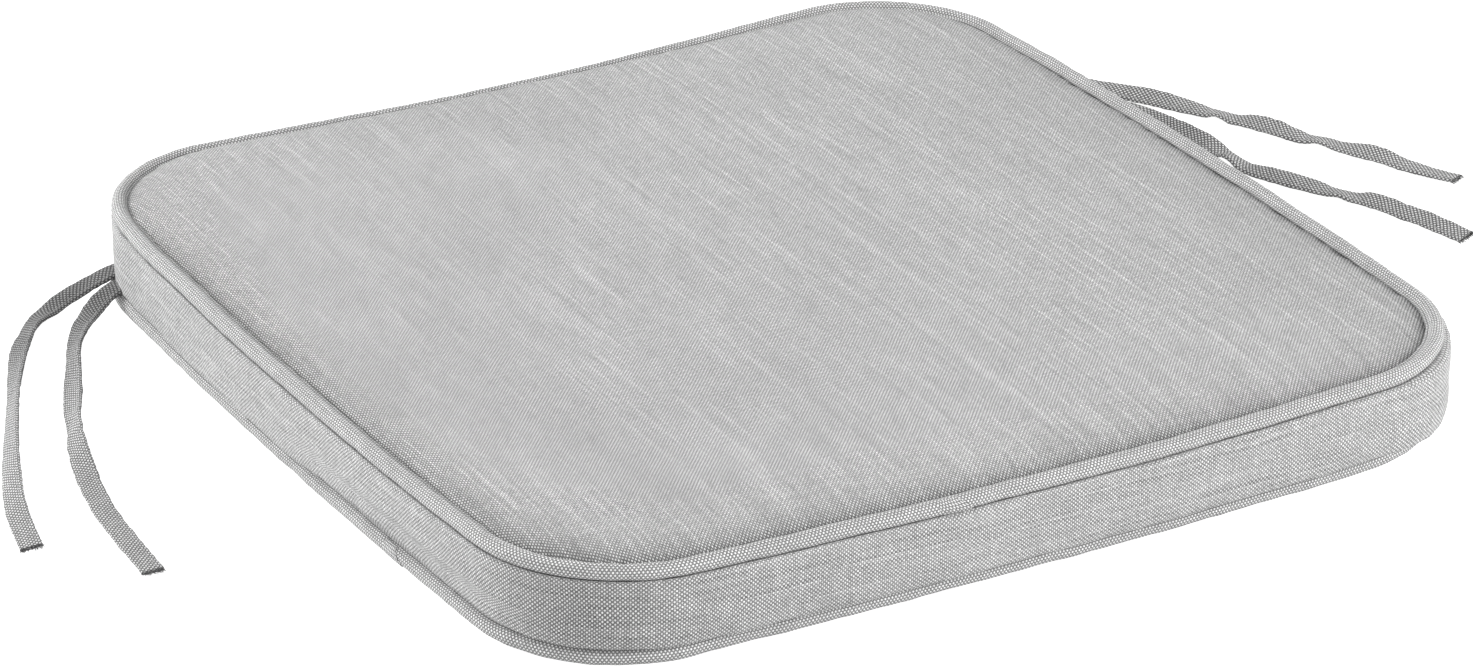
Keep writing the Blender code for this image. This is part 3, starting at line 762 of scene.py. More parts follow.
# ---------------------------------------------------------------------- boxing
def bulge_at(P, s=None):
    """How far the boxing stands out at half height beside points of the seam."""
    x, y = np.abs(P[..., 0]), P[..., 1]
    full = 4.0 * MM
    if s is not None:
        full = around(s, [(REAR, 3.4), (REAR_LEFT, 2.0), ((-0.2, 0.15), 1.0), (LEFT, 3.4), (LEFT_FORE, 3.7),
                          (FRONT_LEFT, 3.4), (FRONT_A, 3.6), (FRONT_C, 3.9), (FRONT_D, 4.6),
                          (FRONT_RIGHT, 6.2), (RIGHT, 4.2), (REAR_RIGHT, 3.4)]) * MM
    to_zip = ZIP_FACE - (y - REAR_Y)
    t = smoothstep(x, BAND_END, PINCH_END)
    return np.where((y < 0) | (x > PINCH_END), full, to_zip * (1 - t) + full * t)


PLAIN_RISE = np.array([(-3.2, 1.0, 0), (-2.2, 2.3, 0), (-0.9, 3.4, 0), (-0.05, 4.8, 0.14), (0, 6.6, 0.55),
                       (0, 8.3, 0.86), (0, 10.2, 0.99), (0, 12.0, 1.0), (0, 14.0, 1.0), (0, 16.0, 1.0)])


def boxing_half(s, P, b, upper):
    """Control points of half the boxing's section, from the flange to half height,
    as (out, height): it swells over the piping and turns in again behind it."""
    place = top_piping_place if upper else low_piping_place
    cu, cz = (v / MM for v in place(s))
    cz = Z_LOW / MM + (-cz if upper else cz)      # heights are from the piping's own side
    if upper:
        lip = cz + 3.05
    else:
        lip = around(s, [(REAR, 7.5), (REAR_LEFT, 5.8), (LEFT_BACK, 6.4), (LEFT, 6.6), (LEFT_FORE, 11.2),
                         ((-0.2, -0.13), 9.8), (FRONT_LEFT, 6.9), (FRONT_A, 6.9), (FRONT_B, 7.2), (FRONT_C, 6.6),
                         (FRONT_D, 6.2), (FRONT_RIGHT, 5.4), (RIGHT, 6.0), (REAR_RIGHT, 6.5)])
    w = b / MM
    if upper:
        shoulder = [(cu + 0.3, cz + 3.2), (cu + 2.2, cz + 2.5), (np.maximum(0.90 * w, cu + 2.95), lip + 0.35),
                    (0.97 * w, lip + 2.6), (w, lip + 5.8)]
    else:
        shoulder = [(cu + 0.3, cz + 3.35), (0.60 * w, lip + 0.15), (0.86 * w, lip + 0.95),
                    (0.97 * w, lip + 3.2), (w, lip + 6.2)]
    K = [(cu - 4.0, cz + 1.0), (cu - 2.9, cz + 1.5), (cu - 1.6, cz + 2.95)] + shoulder + [
         (w, 0.5 * (lip + 6.2 + 16 + 3.0)), (w, 19.0 + 0 * w)]
    full = np.stack([np.stack(np.broadcast_arrays(a, c), -1) for a, c in K], 1)
    plain = np.empty_like(full)
    plain[..., 0] = PLAIN_RISE[None, :, 0] + w[:, None] * PLAIN_RISE[None, :, 2]
    plain[..., 1] = PLAIN_RISE[None, :, 1] + Z_LOW / MM
    t = np.where(P[:, 1] < 0.1, 1.0, smoothstep(np.abs(P[:, 0]), BAND_END, PINCH_END))[:, None, None]
    half = plain * (1 - t) + full * t
    if upper:
        half[..., 1] = 2 * Z_MID / MM - half[..., 1]
    return half * MM


def through_all(keys, t):
    """The smooth curve through every row of control points."""
    q = np.concatenate([2 * keys[:, :1] - keys[:, 1:2], keys, 2 * keys[:, -1:] - keys[:, -2:-1]], 1)
    k = np.clip(np.floor(t).astype(int), 0, keys.shape[1] - 2)
    f = (t - k)[None, :, None]
    p0, p1, p2, p3 = q[:, k], q[:, k + 1], q[:, k + 2], q[:, k + 3]
    return 0.5 * (2 * p1 + (p2 - p0) * f + (2 * p0 - 5 * p1 + 4 * p2 - p3) * f ** 2
                  + (3 * p1 - p0 - 3 * p2 + p3) * f ** 3)


def seam_span(start, end, step):
    """Places along the seam from one to another, the anticlockwise way."""
    if end <= start:
        end += SEAM_LENGTH
    count = int(round((end - start) / step)) + 1
    return np.linspace(start, end, count)


def build_boxing(material):
    left = seam_at((-BAND_END, REAR_Y))
    right = seam_at((BAND_END, REAR_Y))
    s = seam_span(left, right, 1.3 * MM)
    P, N = seam(s)
    free = np.where(P[:, 1] < 0.1, 1.0, smoothstep(np.abs(P[:, 0]), BAND_END + 0.004, PINCH_END))
    b = bulge_at(P, s) * (1 + free * 0.10 * waves(s, 41, 0.035, 0.12))
    low = boxing_half(s, P, b, False)
    high = boxing_half(s, P, b, True)
    keys = np.concatenate([low, high[:, :-1][:, ::-1]], 1)
    v = np.linspace(0, keys.shape[1] - 1, 43)
    section = through_all(keys, v)
    out, z = section[..., 0].copy(), section[..., 1].copy()
    run = np.linalg.norm(np.diff(section, axis=1), axis=2)
    run = np.concatenate([[0], np.cumsum(run.mean(0))])
    total = run[-1]
    inner = smoothstep(np.minimum(run, total - run), 5.0 * MM, 9.0 * MM)
    low_edge = np.exp(-np.abs(run - 8 * MM) / (4 * MM))
    high_edge = np.exp(-np.abs(total - run - 8 * MM) / (4 * MM))
    pucker = (low_edge[None] * waves(s, 42, 0.006, 0.017, 22)[:, None]
              + high_edge[None] * waves(s, 43, 0.006, 0.017, 22)[:, None])
    out += free[:, None] * 0.22 * MM * pucker * inner[None]
    across = np.stack([np.broadcast_to(s[:, None], z.shape), z * 2.2], -1)
    out += free[:, None] * inner[None] * 0.30 * MM * patches(across, 44, 0.018, 0.07)
    G = np.empty(z.shape + (3,))
    G[..., :2] = P[:, None] + N[:, None] * out[..., None]
    G[..., 2] = z
    obj = grid_object("boxing_cloth", G, s, run)
    # the light yarns run up the strip
    swap_map(obj)
    # painted shade: the band darkens at its lower edge, in the gap over the lower piping, and at and beside the front
    # left corner, most at half height
    low_lip_painted_shade = np.exp(-np.maximum(run - 7 * MM, 0) / (1.5 * MM))
    turn = around(s, [(REAR, 0), (LEFT_BACK, 0), (LEFT_FORE, 0.03), ((-0.198, -0.14), 0.15), (FRONT_LEFT, 0.55),
                      ((-0.145, -0.19), 0.38), (FRONT_A, 0.18), (FRONT_B, 0.10), (FRONT_RIGHT, 0.08), (RIGHT, 0)])
    rise = np.sin(np.pi * np.clip(run / total, 0, 1)) ** 0.5
    store_painted_shade(obj, np.maximum(low_lip_painted_shade[None] * 0.6, turn[:, None] * rise[None]).ravel())
    solid(obj, FABRIC_T)
    return finish(obj, material, replaces=["boxing_band"])


def swap_map(obj):
    layer = obj.data.uv_layers["weave"]
    uv = np.zeros(len(obj.data.loops) * 2, np.float32)
    layer.uv.foreach_get("vector", uv)
    layer.uv.foreach_set("vector", np.ascontiguousarray(uv.reshape(-1, 2)[:, ::-1]).ravel())


def build_rear_band(material, part):
    """The strip between a piping and the zip, turned under beside the teeth."""
    up = part == "upper"
    s = seam_span(seam_at((BAND_END - 0.3 * MM, REAR_Y)), seam_at((-BAND_END + 0.3 * MM, REAR_Y)),
                  1.2 * MM)
    P, _ = seam(s)
    b = bulge_at(P)
    _, shift = (top_piping_place if up else low_piping_place)(s)
    shift = (-shift if up else shift)
    keys = [(-3.2, 1.0, 0), (-2.2, 2.3, 0), (-0.9, 3.4, 0), (-0.05, 4.8, 0.14),
            (0, 6.6, 0.55), (0, 8.3, 0.86), (0, 10.2, 0.99), (0, 11.2, 1.0),
            (-0.15, 11.75, 1.0), (-0.75, 11.95, 1.0), (-1.35, 11.75, 1.0), (-1.5, 11.0, 1.0),
            (-1.5, 8.5, 0.98)]
    shape = through(keys, np.linspace(0, len(keys) - 1, 34)) * [MM, MM, 1.0]
    height = shape[:, 1]
    out = shape[None, :, 0] + b[:, None] * shape[None, :, 2]
    edge = np.exp(-np.abs(height - 9.2 * MM) / (1.2 * MM))
    out -= 0.16 * MM * edge[None] * (1 + 0.8 * waves(s, 51 + up, 0.0035, 0.008, 18))[:, None]
    out += 0.10 * MM * (waves(s, 53 + up, 0.012, 0.04)[:, None] * smoothstep(height, 3 * MM, 6 * MM)[None])
    z = Z_LOW + height + 0 * out
    z = z + shift[:, None] * np.exp(-np.maximum(height - 3 * MM, 0) / (3 * MM))[None]
    z = z + 0.12 * MM * waves(s, 55 + up, 0.02, 0.06)[:, None] * smoothstep(height, 6 * MM, 11 * MM)[None]
    if up:
        z = 2 * Z_MID - z
    G = np.empty(out.shape + (3,))
    G[..., 0] = P[:, None, 0]
    G[..., 1] = P[:, None, 1] + out
    G[..., 2] = z
    run = np.cumsum(np.concatenate([[0], np.linalg.norm(np.diff(shape[:, :2], axis=0), axis=1)]))
    obj = grid_object("rear_cloth_" + part, G, s, run, flip=up)
    swap_map(obj)
    store_painted_shade(obj, np.zeros(G.shape[0] * G.shape[1]))
    solid(obj, 0.5 * MM)
    return finish(obj, material, replaces=["rear_band_" + part])


# ---------------------------------------------------------------------- piping
def piping_outline(around_count=34):
    """Section of the folded strip: round the cord, then two layers inward."""
    r, q, lip = 2.95 * MM, 2.3 * MM, 1.05 * MM
    gap = 0.35 * MM
    deg = np.linspace(158, -158, around_count)
    a = np.radians(deg)
    # drawn round the cord and pressed, the strip is creased lightly along its shoulders
    rr = r - 0.17 * MM * np.exp(-((deg - 62) / 7) ** 2) - 0.10 * MM * np.exp(-((deg + 48) / 7) ** 2)
    outer = np.stack([rr * np.cos(a), rr * np.sin(a)], 1)
    inner = np.stack([q * np.cos(a[::-1]), q * np.sin(a[::-1])], 1)
    flange = 4.2 * MM
    top = np.array([(-flange, lip), (-flange * 0.85, lip)])
    low = top[::-1] * [1, -1]
    in_low = np.array([(-flange, -gap), (-flange * 0.85, -gap)])
    in_top = in_low[::-1] * [1, -1]
    return np.vstack([top, outer, low, in_low, inner, in_top]), 2, around_count


def build_piping(material, side):
    z0 = Z_HIGH if side == "top" else Z_LOW
    count = 1040
    s = np.arange(count) * SEAM_LENGTH / count
    P, N = seam(s)
    outline, first, many = piping_outline()
    sway, rise = (top_piping_place if side == "top" else low_piping_place)(s)
    seed = 60 if side == "top" else 70
    fat = 1 + 0.030 * waves(s, seed + 2, 0.008, 0.03, 20)
    is_outer = np.zeros(len(outline))
    is_outer[first:first + many] = 1.0
    u = outline[None, :, 0] * fat[:, None]
    w = outline[None, :, 1] * fat[:, None]
    G = np.empty((count, len(outline), 3))
    G[..., :2] = P[:, None] + N[:, None] * (u + sway[:, None])[..., None]
    G[..., 2] = np.maximum(z0 + w + rise[:, None], 0.02 * MM)
    run = np.concatenate([[0], np.cumsum(np.linalg.norm(np.diff(np.vstack([outline, outline[:1]]), axis=0), axis=1))])
    obj = grid_object(side + "_piping_cloth", G, np.append(s, SEAM_LENGTH), run,
                      wrap_i=True, wrap_j=True, flip=True)
    return finish(obj, material, replaces=[side + "_piping_cover"])


def build_piping_join(material, side, place, way, seed):
    """Where the strip's ends overlap: one end turned under, over the other, with
    its edge at a slant.  way is which way along the seam the free edge faces."""
    s0 = seam_at(place)
    z0 = Z_HIGH if side == "top" else Z_LOW
    t = np.linspace(0, 1, 26)
    deg = np.linspace(78, -74, 24)
    a = np.radians(deg)
    share = np.linspace(0, 1, 24)
    # the free edge slants back towards the top, and rounds off at its lower corner
    reach = -4.2 * MM + 5.0 * MM * smoothstep(share, 0.10, 0.72) - 2.4 * MM * smoothstep(share, 0.82, 1.0)
    S = s0 + way * (-15 * MM * (1 - t)[:, None] + reach[None] * t[:, None])
    most = 0.72 * MM if side == "top" else 0.30 * MM
    lift = most * smoothstep(t, 0.0, 0.85)[:, None] * np.sin(np.pi * np.clip(share * 1.05, 0, 1))[None] ** 0.6
    lift = lift * (1 - 0.20 * smoothstep(t, 0.93, 1.0)[:, None]) + 0.02 * MM
    P, N = seam(S)
    sway, rise = (top_piping_place if side == "top" else low_piping_place)(S)
    r = 2.98 * MM + lift - 0.7 * MM * (1 - smoothstep(t, 0.0, 0.30))[:, None]
    G = np.empty(S.shape + (3,))
    G[..., :2] = P + N * (r * np.cos(a)[None] + sway)[..., None]
    G[..., 2] = z0 + rise + r * np.sin(a)[None]
    obj = grid_object(side + "_piping_join", G, t * 15 * MM, deg * -0.052 * MM)
    outward = N[13, 12]
    middle = obj.data.polygons[len(obj.data.polygons) // 2].normal
    if middle[0] * outward[0] + middle[1] * outward[1] < 0:
        obj.data.flip_normals()
    solid(obj, 0.5 * MM)
    return finish(obj, material)


def build_piping_stitches(thread):
    """The row of stitches that shows in the line below the upper piping."""
    step, long = 3.0 * MM, 2.2 * MM
    at = np.arange(0, SEAM_LENGTH - step, step)
    pairs = []
    for q in (0.0, long):
        P, N = seam(at + q)
        out, up = top_piping_place(at + q)
        pairs.append(np.concatenate([P + N * (out + 2.42 * MM)[:, None], (Z_HIGH + up - 2.42 * MM)[:, None]], 1))
    P, N = seam(at + long / 2)
    normals = np.concatenate([N * 0.80, np.full((len(at), 1), -0.60)], 1)
    keep = (P[:, 1] < 0.12)
    row = thread_mesh("top_piping_stitches", np.stack(pairs, 1)[keep], normals[keep], 0.17 * MM, 0.30 * MM)
    return finish(row, thread)


def build_piping_cord(material, side):
    """The cord inside: three laid strands."""
    z0 = Z_HIGH if side == "top" else Z_LOW
    count, sides = 900, 18
    s = np.arange(count) * SEAM_LENGTH / count
    P, N = seam(s)
    a = np.arange(sides) * 2 * math.pi / sides
    turns = round(SEAM_LENGTH / 0.012)
    lobe = np.abs(np.cos(1.5 * (a[None] + 2 * math.pi * turns * s[:, None] / SEAM_LENGTH)))
    r = 1.45 * MM + 0.5 * MM * lobe
    sway, rise = (top_piping_place if side == "top" else low_piping_place)(s)
    G = np.empty((count, sides, 3))
    G[..., :2] = P[:, None] + N[:, None] * (r * np.cos(a) + sway[:, None])[..., None]
    G[..., 2] = z0 + rise[:, None] + r * np.sin(a)
    obj = grid_object(side + "_cord_strands", G, np.append(s, SEAM_LENGTH),
                      np.append(a, 2 * math.pi) * 1.8 * MM, wrap_i=True, wrap_j=True)
    return finish(obj, material, replaces=[side + "_piping_cord"])


# ------------------------------------------------------------------ fillings
def ring_solid(name, sections, per_side=64, first_flat=True):
    """A filling: rings given by (inset, height), closed below and above."""
    s = ring_places(per_side)
    P, N = seam(s)
    rings = [np.column_stack([P - N * d, z(s) if callable(z) else np.full(len(s), z)]) for d, z in sections]
    low, high = rings[0], rings[-1]
    centre = lambda r, k: np.column_stack([r[:, :2] * k, r[:, 2]])
    rings = ([centre(low, k) for k in (0.02, 0.3, 0.6, 0.85)] + rings
             + [centre(high, k) for k in (0.85, 0.6, 0.3, 0.02)])
    G = np.stack(rings, 1)
    obj = grid_object(name, G, np.append(s, s[0] + SEAM_LENGTH), np.arange(G.shape[1]) * 5 * MM, wrap_i=True)
    bm = bmesh.new()
    bm.from_mesh(obj.data)
    bmesh.ops.holes_fill(bm, edges=[e for e in bm.edges if e.is_boundary])
    bmesh.ops.recalc_face_normals(bm, faces=bm.faces)
    bm.to_mesh(obj.data)
    bm.free()
    obj.data.polygons.foreach_set("use_smooth", np.ones(len(obj.data.polygons), bool))
    return obj


def below_top(d, drop, most=0.1):
    """A height that stays under the top panel by drop, all the way round."""
    return lambda s: np.minimum(top_profile(np.full(len(s), d), s) - drop, most)


def build_fillings(foam, fibre):
    low = 3.6 * MM
    drop = 4.9 * MM
    rings = [(9 * MM, low), (6.2 * MM, low + 0.2 * MM), (4.6 * MM, low + 1.8 * MM),
             (3.4 * MM, 9.0 * MM), (1.6 * MM, 14 * MM), (1.4 * MM, 19 * MM), (1.6 * MM, 24 * MM)]
    rings += [(3.4 * MM, below_top(3.4 * MM, drop, 29.0 * MM)), (4.8 * MM, below_top(4.8 * MM, drop, 31.6 * MM)),
              (6.4 * MM, below_top(6.4 * MM, drop, 33.2 * MM))]
    rings += [(d * MM, below_top(d * MM, drop)) for d in (9, 13, 18, 24, 31)]
    core = ring_solid("foam_block", rings)
    # flat behind the zip
    co = coords(core)
    behind = (np.abs(co[:, 0]) < BAND_END) & (co[:, 1] > 0.15)
    co[behind, 1] = np.minimum(co[behind, 1], REAR_Y - 1.2 * MM)
    set_coords(core, co)
    finish(core, foam, replaces=["foam_core"])
    under = ring_solid("fibre_below", [(9.0 * MM, 1.25 * MM), (7.6 * MM, 1.35 * MM), (7.2 * MM, 2.0 * MM),
                                       (7.6 * MM, 2.8 * MM), (9.0 * MM, 3.0 * MM)])
    finish(under, fibre, replaces=["wadding_bottom"])
    rows = [(d * MM, below_top(d * MM, 4.3 * MM)) for d in (31, 24, 18, 13, 9)]
    rows += [(6.8 * MM, below_top(6.8 * MM, 4.0 * MM)), (6.0 * MM, below_top(6.0 * MM, 3.3 * MM)),
             (6.1 * MM, below_top(6.1 * MM, 2.6 * MM))]
    rows += [(d * MM, below_top(d * MM, 2.2 * MM)) for d in (7.2, 9, 13, 18, 24, 31)]
    over = ring_solid("fibre_above", rows)
    finish(over, fibre, replaces=["wadding_top"])


# ------------------------------------------------------------------- stitching
def thread_mesh(name, ends, normals, radius, lift, sides=8, rings=7):
    """A row of stitches as one mesh: each a short thread that rises from the cloth
    at one end and goes back into it at the other.  ends is (count, 2, 3)."""
    ends, normals = np.asarray(ends, float), np.asarray(normals, float)
    t = np.linspace(0, 1, rings)
    along = ends[:, None, 0] * (1 - t[:, None]) + ends[:, None, 1] * t[:, None]
    arch = np.sin(np.pi * t) ** 0.5 * lift - 0.5 * radius
    centre = along + normals[:, None] * arch[None, :, None]
    way = ends[:, 1] - ends[:, 0]
    way /= np.linalg.norm(way, axis=1)[:, None]
    side = np.cross(way, normals)
    side /= np.linalg.norm(side, axis=1)[:, None]
    thick = radius * (0.35 + 0.65 * np.sin(np.pi * np.clip(t, 0.04, 0.96)) ** 0.45)
    a = np.arange(sides) * 2 * math.pi / sides
    P = (centre[:, :, None]
         + (side[:, None, None] * np.cos(a)[None, None, :, None]
            + normals[:, None, None] * np.sin(a)[None, None, :, None])
         * thick[None, :, None, None])
    quads, uv = [], []
    for k in range(len(ends)):
        q, ci, cj = sheet_faces(rings, sides, wrap_j=True, first=k * rings * sides, flip=True)
        quads.append(q)
        uv.append(np.stack([cj * radius * 0.8, k * 0.01 + ci * 0.0004], -1))
    obj = from_arrays(name, P.reshape(-1, 3), np.concatenate(quads), np.concatenate(uv))
    bm = bmesh.new()
    bm.from_mesh(obj.data)
    bmesh.ops.holes_fill(bm, edges=[e for e in bm.edges if e.is_boundary], sides=sides)
    bmesh.ops.recalc_face_normals(bm, faces=bm.faces)
    bm.to_mesh(obj.data)
    bm.free()
    obj.data.polygons.foreach_set("use_smooth", np.ones(len(obj.data.polygons), bool))
    return obj


def fibres_mesh(name, starts, ways, length, radius, seed, droop=0.3):
    """Loose yarn ends at a cut edge."""
    rng = np.random.default_rng(seed)
    n, rings, sides = len(starts), 6, 5
    t = np.linspace(0, 1, rings)
    bend = rng.normal(0, 0.35, (n, 3))
    long = length * rng.uniform(0.4, 1.0, n)
    centre = (starts[:, None] + ways[:, None] * (t[None] * long[:, None])[..., None]
              + bend[:, None] * ((t ** 2)[None] * long[:, None])[..., None])
    centre[..., 2] = np.maximum(centre[..., 2] - droop * (t ** 2)[None] * long[:, None] * 0.4, 0.15 * MM)
    way = np.gradient(centre, axis=1)
    way /= np.linalg.norm(way, axis=2)[..., None]
    side = np.cross(way, [0.0, 0.0, 1.0])
    side /= np.maximum(np.linalg.norm(side, axis=2), 1e-6)[..., None]
    other = np.cross(side, way)
    a = np.arange(sides) * 2 * math.pi / sides
    thick = radius * (1 - 0.75 * t ** 2)
    P = (centre[:, :, None] + (side[:, :, None] * np.cos(a)[None, None, :, None]
                               + other[:, :, None] * np.sin(a)[None, None, :, None])
         * thick[None, :, None, None])
    quads, uv = [], []
    for k in range(n):
        q, ci, cj = sheet_faces(rings, sides, wrap_j=True, first=k * rings * sides)
        quads.append(q)
        uv.append(np.stack([cj * 0.0002, k * 0.003 + ci * 0.0004], -1))
    obj = from_arrays(name, P.reshape(-1, 3), np.concatenate(quads), np.concatenate(uv))
    bm = bmesh.new()
    bm.from_mesh(obj.data)
    bmesh.ops.holes_fill(bm, edges=[e for e in bm.edges if e.is_boundary], sides=sides)
    bmesh.ops.recalc_face_normals(bm, faces=bm.faces)
    bm.to_mesh(obj.data)
    bm.free()
    obj.data.polygons.foreach_set("use_smooth", np.ones(len(obj.data.polygons), bool))
    return obj


# ------------------------------------------------------------------------ ties
# plan position, tilt of the tape in degrees, height of its lower edge in mm
TIES = {
    "tie_left_outer": [
        (-0.1915, 0.1678, 0, 6.2), (-0.2030, 0.1650, -4, 4.0), (-0.2150, 0.1612, -8, 1.8),
        (-0.2262, 0.1548, 10, 0.5), (-0.2355, 0.1450, 30, 0), (-0.2440, 0.1338, 24, 0),
        (-0.2537, 0.1160, 40, 0), (-0.2668, 0.0895, 56, 0), (-0.2817, 0.0583, 46, 0),
        (-0.2920, 0.0345, 34, 0), (-0.3000, 0.0118, 20, 0), (-0.3057, -0.0127, 8, 0)],
    "tie_left_inner": [
        (-0.1971, 0.1530, -2, 6.2), (-0.2070, 0.1470, -4, 4.0), (-0.2165, 0.1380, 15, 1.6),
        (-0.2250, 0.1255, 38, 0.4), (-0.2318, 0.1130, 50, 0), (-0.2418, 0.0918, 34, 0),
        (-0.2495, 0.0752, 38, 0), (-0.2540, 0.0642, 54, 0), (-0.2605, 0.0472, 36, 0),
        (-0.2665, 0.0250, 10, 0), (-0.2712, 0.0022, 3, 0), (-0.2740, -0.0242, 3, 0),
        (-0.2757, -0.0485, 2, 0)],
    "tie_right_outer": [
        (0.1915, 0.1678, 0, 6.2), (0.2030, 0.1650, 0, 5.0), (0.2155, 0.1608, 5, 3.6),
        (0.2280, 0.1525, 8, 3.0), (0.2392, 0.1402, 10, 2.2), (0.2545, 0.1195, 30, 0.4),
        (0.2670, 0.1022, 10, 0), (0.2726, 0.0942, -10, 0), (0.2800, 0.0770, 24, 0),
        (0.2878, 0.0600, 6, 0), (0.2935, 0.0520, -8, 0), (0.3023, 0.0320, 22, 0),
        (0.3078, 0.0190, 8, 0), (0.3138, 0.0070, 0, 0), (0.3190, -0.0036, -4, 0)],
    "tie_right_inner": [
        (0.1971, 0.1530, 0, 6.2), (0.2075, 0.1482, 0, 5.0), (0.2187, 0.1405, 0, 4.0),
        (0.2290, 0.1290, 6, 3.2), (0.2370, 0.1165, 12, 2.6), (0.2428, 0.1000, 22, 1.6),
        (0.2455, 0.0872, 30, 0.8), (0.2490, 0.0732, 26, 0.3), (0.2512, 0.0630, 4, 0),
        (0.2513, 0.0552, -18, 0), (0.2525, 0.0442, 4, 0), (0.2572, 0.0302, 18, 0),
        (0.2655, 0.0150, 8, 0), (0.2706, 0.0060, -8, 0), (0.2760, -0.0048, 18, 0),
        (0.2803, -0.0190, 18, 0), (0.2845, -0.0335, 20, 0), (0.2885, -0.0510, 12, 0)],
}


def tie_line(route, count=420):
    """Centres, directions, the tape's side and face directions along a route."""
    r = np.asarray(route, float)
    fine = through(r, np.linspace(0, len(r) - 1, 2400))
    run = np.concatenate([[0], np.cumsum(np.linalg.norm(np.diff(fine[:, :2], axis=0), axis=1))])
    s = np.linspace(0, run[-1], count)
    x, y, tilt, lift = (np.interp(s, run, fine[:, k]) for k in range(4))
    # the changes of tilt are eased, as cloth can't turn sharply
    kernel = np.hanning(15)
    kernel /= kernel.sum()
    tilt = np.convolve(np.pad(tilt, 7, mode='edge'), kernel, 'valid')
    a = np.radians(tilt)
    z = (TIE_WIDTH / 2 * np.abs(np.sin(a)) + TIE_T / 2 * np.abs(np.cos(a)) + 0.1 * MM
         + np.maximum(lift, 0) * MM)
    z = np.convolve(np.pad(z, 7, mode='edge'), kernel, 'valid')
    P = np.stack([x, y, z], 1)
    T = np.gradient(P, axis=0)
    T /= np.linalg.norm(T, axis=1)[:, None]
    side = np.cross(T, [0.0, 0.0, 1.0])
    side /= np.linalg.norm(side, axis=1)[:, None]
    face = np.cross(side, T)
    c, w = np.cos(a)[:, None], np.sin(a)[:, None]
    return P, T, side * c - face * w, face * c + side * w


def tie_section(count_half=17):
    """Section of the tape, folded in four and sewn along its open edge (+)."""
    w = TIE_WIDTH / 2
    x = np.cos(np.linspace(0, math.pi, count_half)) * w
    x = np.sign(x) * np.abs(x / w) ** 0.75 * w
    half = 0.72 * MM * (1 - np.abs(x / w) ** 9) ** 0.5
    half = half * (1 + 0.22 * np.exp(-((x - (w - 0.6 * MM)) / (0.8 * MM)) ** 2))
    half = half - 0.17 * MM * np.exp(-((x - (w - 1.9 * MM)) / (0.35 * MM)) ** 2)
    half = np.maximum(half, 0.0)
    top = np.stack([x, half], 1)
    low = np.stack([x[::-1][1:-1], -half[::-1][1:-1]], 1)
    return np.vstack([top, low])


def build_tie(name, route, material, thread, cut, seed):
    # the sewn-in end runs on into the seam
    first, second = np.array(route[0][:2]), np.array(route[1][:2])
    inward = (first - second) / np.linalg.norm(first - second)
    start = first + inward * 5.0 * MM
    route = [(start[0], start[1], route[0][2], route[0][3] + 0.3)] + list(route)
    P, T, S, F = tie_line(route)
    if name.startswith("tie_left"):
        S, F = -S, -F
    section = tie_section()
    rng = np.random.default_rng(seed)
    n = len(P)
    k = np.arange(n)
    soft = lambda width: np.convolve(rng.normal(0, 1, n + 60), np.hanning(width) / np.sqrt((np.hanning(width) ** 2).sum()), 'same')[30:30 + n]
    edge_a, edge_b = 0.10 * MM * soft(9), 0.10 * MM * soft(9)
    puff = 1 + 0.10 * soft(13)
    cup = 0.18 * MM * soft(25)
    x, h = section[:, 0], section[:, 1]
    share = x / (TIE_WIDTH / 2)
    across = x[None] + np.where(share > 0, edge_a[:, None] * share, edge_b[:, None] * share)
    up = h[None] * puff[:, None] + cup[:, None] * (share[None] ** 2 - 0.4)
    G = P[:, None] + S[:, None] * across[..., None] + F[:, None] * up[..., None]
    G[..., 2] = np.maximum(G[..., 2], 0.05 * MM)
    run = np.concatenate([[0], np.cumsum(np.linalg.norm(np.diff(P, axis=0), axis=1))])
    girth = np.concatenate([[0], np.cumsum(np.linalg.norm(np.diff(np.vstack([section, section[:1]]), axis=0), axis=1))])
    obj = grid_object(name + "_tape", G, run, girth, wrap_j=True, flip=True)
    bm = bmesh.new()
    bm.from_mesh(obj.data)
    bmesh.ops.holes_fill(bm, edges=[e for e in bm.edges if e.is_boundary])
    bmesh.ops.recalc_face_normals(bm, faces=bm.faces)
    bm.to_mesh(obj.data)
    bm.free()
    finish(obj, material, replaces=[name])
    # the row of stitches, on both faces
    step, long = 3.1 * MM, 2.5 * MM
    ends, normals = [], []
    at = np.arange(6 * MM, run[-1] - 4 * MM, step)
    pick = lambda arr, s: np.stack([np.interp(s, run, arr[:, j]) for j in range(3)], 1)
    for sign in (1, -1):
        a, b = at + (0 if sign > 0 else step / 2), at + long + (0 if sign > 0 else step / 2)
        b = np.minimum(b, run[-1] - 1 * MM)
        for q in (0,):
            w = TIE_WIDTH / 2 - 1.9 * MM
            start = pick(P, a) + pick(S, a) * w + pick(F, a) * sign * 0.57 * MM
            stop = pick(P, b) + pick(S, b) * w + pick(F, b) * sign * 0.57 * MM
            ends.append(np.stack([start, stop], 1))
            normals.append(pick(F, (a + b) / 2) * sign)
    ends, normals = np.concatenate(ends), np.concatenate(normals)
    ends[..., 2] = np.maximum(ends[..., 2], 0.25 * MM)
    row = thread_mesh(name + "_stitching", ends, normals, 0.16 * MM, 0.14 * MM)
    finish(row, thread)
    # loose yarn ends at the cut: half of them near-black, painted shade of the open end of the folded tape
    count = 110
    pos = rng.uniform(-0.98, 0.98, count) * TIE_WIDTH / 2
    off = rng.uniform(-0.6, 0.6, count) * MM
    starts = P[-1] - T[-1] * 0.3 * MM + S[-1] * pos[:, None] + F[-1] * off[:, None]
    ways = T[-1] + S[-1] * rng.normal(0, 0.25, (count, 1)) + F[-1] * rng.normal(0, 0.2, (count, 1))
    fray = fibres_mesh(name + "_cut_end", starts[::2], ways[::2], 1.5 * MM, 0.20 * MM, seed + 5)
    finish(fray, cut)
    pale = fibres_mesh(name + "_cut_end_pale", starts[1::2], ways[1::2], 1.9 * MM, 0.14 * MM, seed + 6)
    finish(pale, material)
    return obj


# ------------------------------------------------------------------------- zip
def zy(u):
    return REAR_Y + ZIP_PLANE + u


